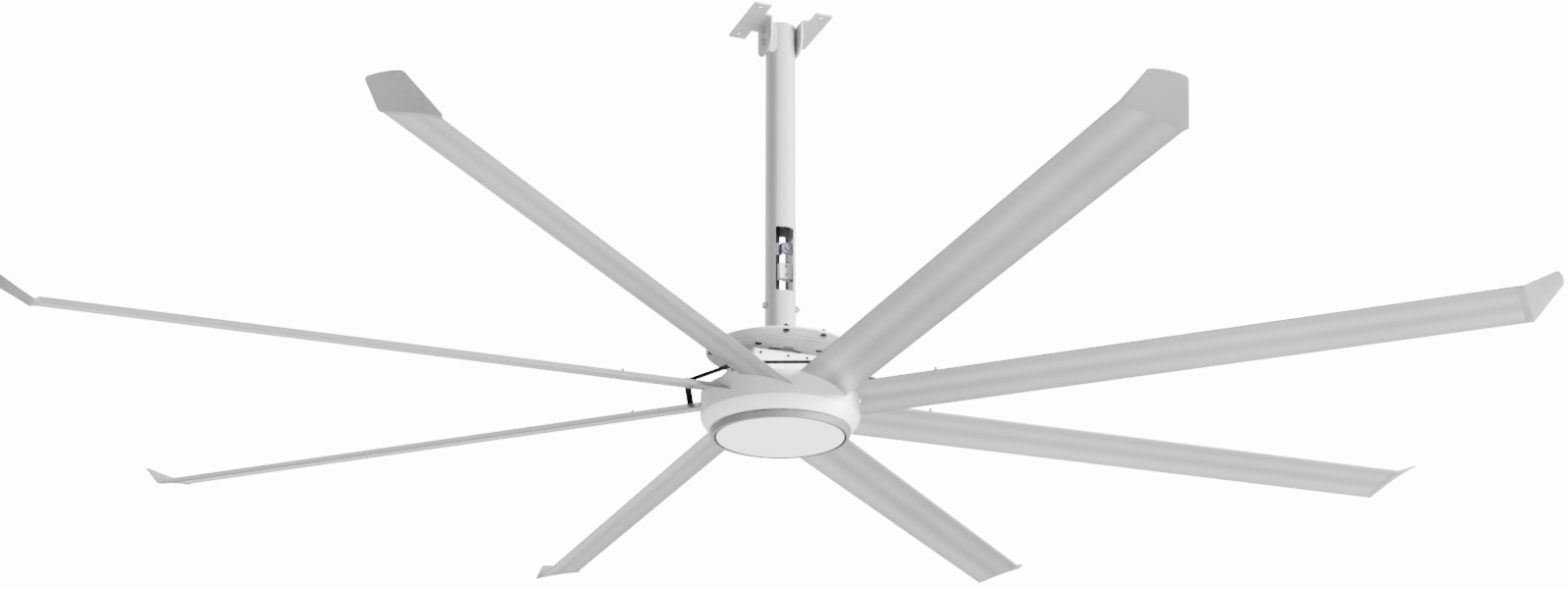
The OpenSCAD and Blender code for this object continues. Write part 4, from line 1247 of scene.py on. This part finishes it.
@dataclass
class Light:
    """Grey pan and opal cover that hang still below the turning hub."""

    rim_r: float = 200.0
    lip_r: float = 194.0
    bore_r: float = 12.3
    top: float = -69.5
    low: float = -88.0
    cover_r: float = 180.0
    cover_t: float = 2.5
    seal_w: float = 5.7
    seal_in: float = 1.5
    wall: float = 9.0

    def build(self) -> None:
        """Makes the pan, the seal and the opal cover."""
        c, t, low, bore = self.cover_r, self.cover_t, self.low, self.bore_r
        gap, high = c + self.seal_w, low + self.wall
        pan = pressed("light_pan_pressing", [
            (bore, self.top, 0.3), (self.rim_r, self.top, 2.0), (self.lip_r, low, 2.5),
            (gap, low, 0.6), (gap, high, 0.6), (self.lip_r - 5, high, 1.0),
            (self.rim_r - 4, self.top - 2, 1.0), (bore, self.top - 2, 0.3),
        ])
        dress(pan, PAN_COAT, FIXED, "light_pan")
        out, into, bottom, top = gap - 0.2, c + SEAT_GAP, low + self.seal_in, high - 1
        gasket = pressed("light_gasket", [
            (out, bottom, 0.5), (out, top, 0.5), (into, top, 0.5), (into, bottom, 0.5)
        ], 3)
        dress(gasket, RUBBER, FIXED, "diffuser_seal")
        cover = pressed("opal_cover", [
            (c - t, high, 0.5), (c, high, 0.5), (c, low, 3.0),
            (1.0, low, 0.2), (1.0, low + t, 0.2), (c - t, low + t, 1.0),
        ])
        dress(cover, OPAL, FIXED, "diffuser")


@dataclass
class Drive:
    """Square drive box on the shaft, with its screwed lid."""

    width: float = 268.0
    corner: float = 12.0
    low: float = 66.0
    top: float = 120.0
    lid_t: float = 2.0
    shaft_r: float = 25.3
    screw_row: tuple[float, ...] = (-110.0, -28.0, 28.0, 110.0)
    screw_drop: float = 11.0
    screw_r: float = 4.0
    screw_h: float = 2.4

    def build(self) -> None:
        """Makes the box, its lid and its screws."""
        outline = rounded_rectangle(self.width, self.width, self.corner)
        seam = self.top - self.lid_t
        box = soften(slab("drive_case", outline, self.low, seam - 0.3), 1.2)
        carve(box, [drill(self.shaft_r, 30, spot(0, 0, self.low - 5), 64)])
        # The box and its lid get the drum's greyed coat, painted shade under the top plate.
        dress(box, SHADE_GREYED_COAT, FIXED, "drive_box")
        lid = soften(slab("drive_case_lid", outline, seam, self.top), 0.8)
        carve(lid, [drill(self.shaft_r, 30, spot(0, 0, self.top - 12), 64)])
        dress(lid, SHADE_GREYED_COAT, FIXED, "drive_lid")
        side, height = -self.width / 2 - 0.05, self.top - self.screw_drop
        seats = [spot(x, side, height) for x in self.screw_row]
        places = [turn @ seat @ facing("-Y") for turn in turned_about_z(4) for seat in seats]
        dress(repeated(self.screw(), places), BLACK_OXIDE, FIXED, "drive_screws")

    def screw(self) -> Solid:
        """Models one button head with its hex socket.

        Returns:
            The head, with its seat at the origin.
        """
        head = rod("case_screws", self.screw_r, self.screw_h, 28)
        with editing(head):
            pick(head, lambda co: co.z > 0.95 * self.screw_h * MM)
            bpy.ops.mesh.bevel(offset=self.screw_h / 2 * MM, segments=3, affect="EDGES")
        return shade(carve(head, [drill(1.5, 3.0, Matrix.Translation((0, 0, 1.0 * MM)), 6)]))


@dataclass
class TopPlate:
    """Ribbed round plate over the hub, with the foot that carries the mast."""

    radius: float = 212.0
    top: float = 170.0
    thickness: float = 6.0
    bore_r: float = 8.0
    rib_depth: float = 6.0
    rib_pitch: float = 24.0
    rib_w: float = 5.0
    rib_draft: float = 0.6
    rib_zone: float = 172.0
    rib_clear: float = 62.0
    rim_bolt_r: float = 196.0
    rim_bolt_turn: float = 16.5
    foot_r: float = 128.0
    foot_t: float = 12.0
    foot_bolts: Flat = (92.0, 69.0)
    tube_radii: Flat = (31.25, 39.25)
    tube_h: float = 153.0
    weld_radii: Flat = (45.2, 50.0)
    weld_h: float = 5.0

    def plate(self) -> Solid:
        """Models the plate and the straight ribs cast under it.

        Returns:
            The plate.
        """
        low, half, foot = self.top - self.thickness, self.rib_w / 2, self.rib_w / 2 + self.rib_draft
        parts = [pressed("ribbed_plate", [
            (self.bore_r, low, 0.5), (self.radius, low, 1.5),
            (self.radius, self.top, 1.5), (self.bore_r, self.top, 0.5),
        ], 3)]
        rows = int(self.rib_zone // self.rib_pitch)
        for i in range(-rows, rows):
            y = (i + 0.5) * self.rib_pitch
            reach = math.sqrt(self.rib_zone**2 - y**2)
            clear = math.sqrt(max(0.0, self.rib_clear**2 - y**2))
            outline = filleted([
                (y - foot, low + 0.5, 0), (y + foot, low + 0.5, 0),
                (y + half, low - self.rib_depth, 1.2), (y - half, low - self.rib_depth, 1.2),
            ], 3)
            for start, stop in ((-reach, -clear), (clear, reach)) if clear else ((-reach, reach),):
                parts.append(shade(slab("rib", outline, start, stop, "X")))
        return joined("ribbed_plate", parts)

    def foot(self) -> Solid:
        """Models the mast's foot: a flange with a spigot and a weld bead.

        Returns:
            The foot.
        """
        low, high, r = self.top, self.top + self.foot_t, self.foot_r
        (inner, outer), (upper, lower) = self.tube_radii, self.weld_radii
        end, bead = high + self.tube_h, high + self.weld_h
        return turned("mast_foot_flange", filleted([
            (inner, low, 0.6), (r, low, 1.0), (r, high, 2.0), (lower, high, 3.0),
            (upper, bead, 1.0), (outer, bead, 0.2), (outer, end, 1.0), (inner, end, 1.0),
        ], 3))

    def fasten(self, name: str, points: Sequence[Flat], seat: float, node: str) -> None:
        """Puts bolts up through the plate, with a nut on each.

        Args:
            name: the name of the lot.
            points: where the bolts stand.
            seat: the nuts' height.
            node: the CAD node that they stand for.
        """
        down = Matrix.Rotation(math.pi, 4, "X")
        low = self.top - self.thickness
        heads = Bolt(10).bolts("heads", [spot(x, y, low) @ down for x, y in points])
        nuts = Bolt(10).nuts("nuts", [spot(x, y, seat) for x, y in points])
        dress(joined(name, [heads, nuts]), BLACK_OXIDE, FIXED, node)

    def build(self) -> None:
        """Makes the plate, the foot and their bolts."""
        dress(self.plate(), CAST_METAL, FIXED, "top_plate")
        dress(self.foot(), CAST_METAL, FIXED, "mast_foot")
        turns = [math.radians(90 * q + s * self.rim_bolt_turn) for q in range(4) for s in (-1, 1)]
        rim = [(self.rim_bolt_r * math.cos(a), self.rim_bolt_r * math.sin(a)) for a in turns]
        self.fasten("rim_fasteners", rim, self.top, "rim_bolts")
        a, b = self.foot_bolts
        corners = [(x, y) for x in (-a, a) for y in (-b, b)]
        self.fasten("foot_fasteners", corners, self.top + self.foot_t, "foot_bolts")


@dataclass
class Mast:
    """Round pipe with a wiring window, and what shows inside it."""

    outer_r: float = 44.45
    wall: float = 5.0
    low: float = 182.0
    top: float = 1200.0
    window_w: float = 55.0
    window_h: float = 197.0
    window_low: float = 343.0
    window_corner: float = 4.0
    cross_z: float = 305.0
    ear_bolts: Flat = (1185.0, 1145.0)
    bolt_d: float = 12.0
    cable_at: Flat = (-3.5, 17.5)
    cable_r: float = 8.0
    cable_ends: Flat = (212.0, 1146.0)

    def pipe(self) -> Solid:
        """Models the pipe with its window and bolt holes.

        Returns:
            The pipe.
        """
        r, inner = self.outer_r, self.outer_r - self.wall
        path = [(r, self.low), (r, self.top), (inner, self.top), (inner, self.low)]
        pipe = turned("mast_pipe", path)
        middle = self.window_low + self.window_h / 2
        line = rounded_rectangle(self.window_w, self.window_h, self.window_corner)
        cutters = [slab("window", [(x, z + middle) for x, z in line], -60, 60, "Y")]
        for z in (*self.ear_bolts, self.cross_z):
            place = spot(-r - 5, 0, z) @ facing("+X")
            cutters.append(drill(self.bolt_d / 2 + HOLE_ROOM, 2 * r + 10, place))
        return soften(carve(pipe, cutters), 0.7)

    def cable(self) -> Solid:
        """Models the straight supply cable with its jacket.

        Returns:
            The cable.
        """
        (x, y), r, (low, top) = self.cable_at, self.cable_r, self.cable_ends
        cable = turned("supply_cable", [(0.0, low), (r, low), (r, top), (0.0, top)], Ends.OPEN, 32)
        cable.data.transform(Matrix.Translation((x * MM, y * MM, 0)))
        return cable

    def build(self) -> None:
        """Makes the pipe, its cable and its cross bolt."""
        dress(self.pipe(), MAST_COAT, FIXED, "mast_tube")
        dress(self.cable(), JACKET, FIXED, "power_cable")
        seat, z = self.outer_r + SEAT_GAP, self.cross_z
        bolt = Bolt(self.bolt_d, 2 * seat).bolts("cross_head", [spot(-seat, 0, z) @ facing("-X")])
        nut = Bolt(self.bolt_d).nuts("cross_nut", [spot(seat, 0, z) @ facing("+X")], 5.0)
        dress(joined("cross_fastener", [bolt, nut]), ZINC, FIXED, "cross_bolt")


@dataclass
class CeilingBracket:
    """Two bent plates that hang the mast from the ceiling."""

    sheet: float = 6.0
    plate_len: float = 230.0
    plate_in: float = 70.0
    plate_w: float = 54.0
    ear_w: float = 114.0
    ear_drop: float = 104.0
    ear_in: float = 44.75
    bend_r: float = 9.0
    bend_steps: int = 8
    ear_round: float = 40.0
    hole_pitch: float = 180.0
    hole_r: float = 7.0
    bolt_d: float = 12.0
    bolt_drops: Flat = (27.0, 67.0)
    washer_room: float = 2.5

    def plate(self) -> Solid:
        """Models the right-hand plate: flat part, bend and ear.

        Returns:
            The plate.
        """
        t, half, end, ceiling = self.sheet, self.ear_w / 2, self.plate_len / 2, -DATUM
        tongue, near, far = self.ear_in + self.bend_r, self.plate_in, self.plate_in + self.plate_w
        flat = filleted([
            (tongue - 0.2, -half, 0), (near, -half, 0.5), (near, -end, 3.0), (far, -end, 3.0),
            (far, end, 3.0), (near, end, 3.0), (near, half, 0.5), (tongue - 0.2, half, 0),
        ], 3)
        piece = slab("bracket_right_plate", flat, ceiling - t, ceiling)
        outer, inner, rings = self.bend_r, self.bend_r - t, []
        for i in range(self.bend_steps + 1):
            turn = math.pi / 2 * i / self.bend_steps
            c, s = math.cos(turn), math.sin(turn)
            ring = [(outer, -half), (outer, half), (inner, half), (inner, -half)]
            rings.append([Vector((tongue - r * s, y, ceiling - outer + r * c)) for r, y in ring])
        combined(piece, drawn("bend", rings), "UNION")
        low, high, r = ceiling - self.ear_drop, ceiling - self.bend_r + 0.2, self.ear_round
        ear = filleted([(-half, low, r), (half, low, r), (half, high, 0), (-half, high, 0)], 12)
        combined(piece, slab("ear", ear, self.ear_in, self.ear_in + t, "X"), "UNION")
        cutters = []
        for y in (-self.hole_pitch / 2, self.hole_pitch / 2):
            place = spot(near + self.plate_w / 2, y, ceiling - 15)
            cutters.append(drill(self.hole_r, 30, place, 40))
        for drop in self.bolt_drops:
            place = spot(self.ear_in - 10, 0, ceiling - drop) @ facing("+X")
            cutters.append(drill(self.bolt_d / 2 + HOLE_ROOM, 30, place))
        return soften(carve(piece, cutters), 0.8)

    def build(self) -> None:
        """Makes both plates and the bolts through their ears."""
        right = self.plate()
        left = copied(right, "bracket_left_plate", Matrix.Scale(-1, 4, (1, 0, 0)))
        with editing(left):
            bpy.ops.mesh.select_all(action="SELECT")
            bpy.ops.mesh.normals_make_consistent(inside=False)
        dress(right, BRACKET_COAT, FIXED, "bracket_right")
        dress(shade(left), BRACKET_COAT, FIXED, "bracket_left")
        seat = self.ear_in + self.sheet + self.washer_room
        parts = []
        for drop in self.bolt_drops:
            near, far = (spot(x, 0, -DATUM - drop) for x in (-seat, seat))
            bolt = Bolt(self.bolt_d, 2 * seat, washer=True)
            parts.append(bolt.bolts("ear_bolt", [near @ facing("-X")]))
            parts.append(bolt.nuts("ear_nut", [far @ facing("+X")], 4.0))
            parts.append(repeated(bolt.ring(), [far @ facing("+X")]))
        dress(joined("ear_fasteners", parts), ZINC, FIXED, "bracket_bolts")


@dataclass
class KeptSolids:
    """CAD nodes whose shape is right, under the finish of the real piece."""

    finishes: tuple[tuple[Finish, tuple[str, ...]], ...] = (
        (TURNED_STEEL, ("shaft", "box_collar", "bearing_inner_races", "bearing_balls")),
        (TURNED_STEEL, ("bearing_outer_races",)),
        (CORE_STEEL, ("stator_core", "back_iron")),
        (CAST_METAL, ("stator_carrier", "terminal_block", "rotor_frame", "end_bell")),
        (ZINC, ("light_nut", "cable_clip", "spar_bolts", "hub_screws")),
        (BLACK_OXIDE, ("shaft_bolts",)),
        (BOARD, ("drive_board",)),
        (COPPER, ("windings",)),
        (LED_WHITE, ("led_board",)),
        (JACKET, ("cable_connectors",)),
        (BRACKET_COAT, ("cable_tabs",)),
        (NICKEL, ("magnets",)),
        (SPAR_COAT, ("blade_spars",)),
    )

    def build(self) -> None:
        """Gives every kept node its finish."""
        for finish, names in self.finishes:
            for name in names:
                node = frame["nodes"][name]
                node.data.materials.clear()
                node.data.materials.append(finish.material())
                LOG.info("%s: kept solid, %s", name, finish.name)


def main() -> None:
    """Builds the studio and the fan, piece by piece."""
    logging.basicConfig(level=logging.INFO, format="%(name)s: %(message)s")
    Studio().build()
    KeptSolids().build()
    for assembly in (CeilingBracket(), Mast(), TopPlate(), Drive(), Hub(), Light(), Blades()):
        assembly.build()
    deselect_all()


if __name__ == "__main__":
    main()
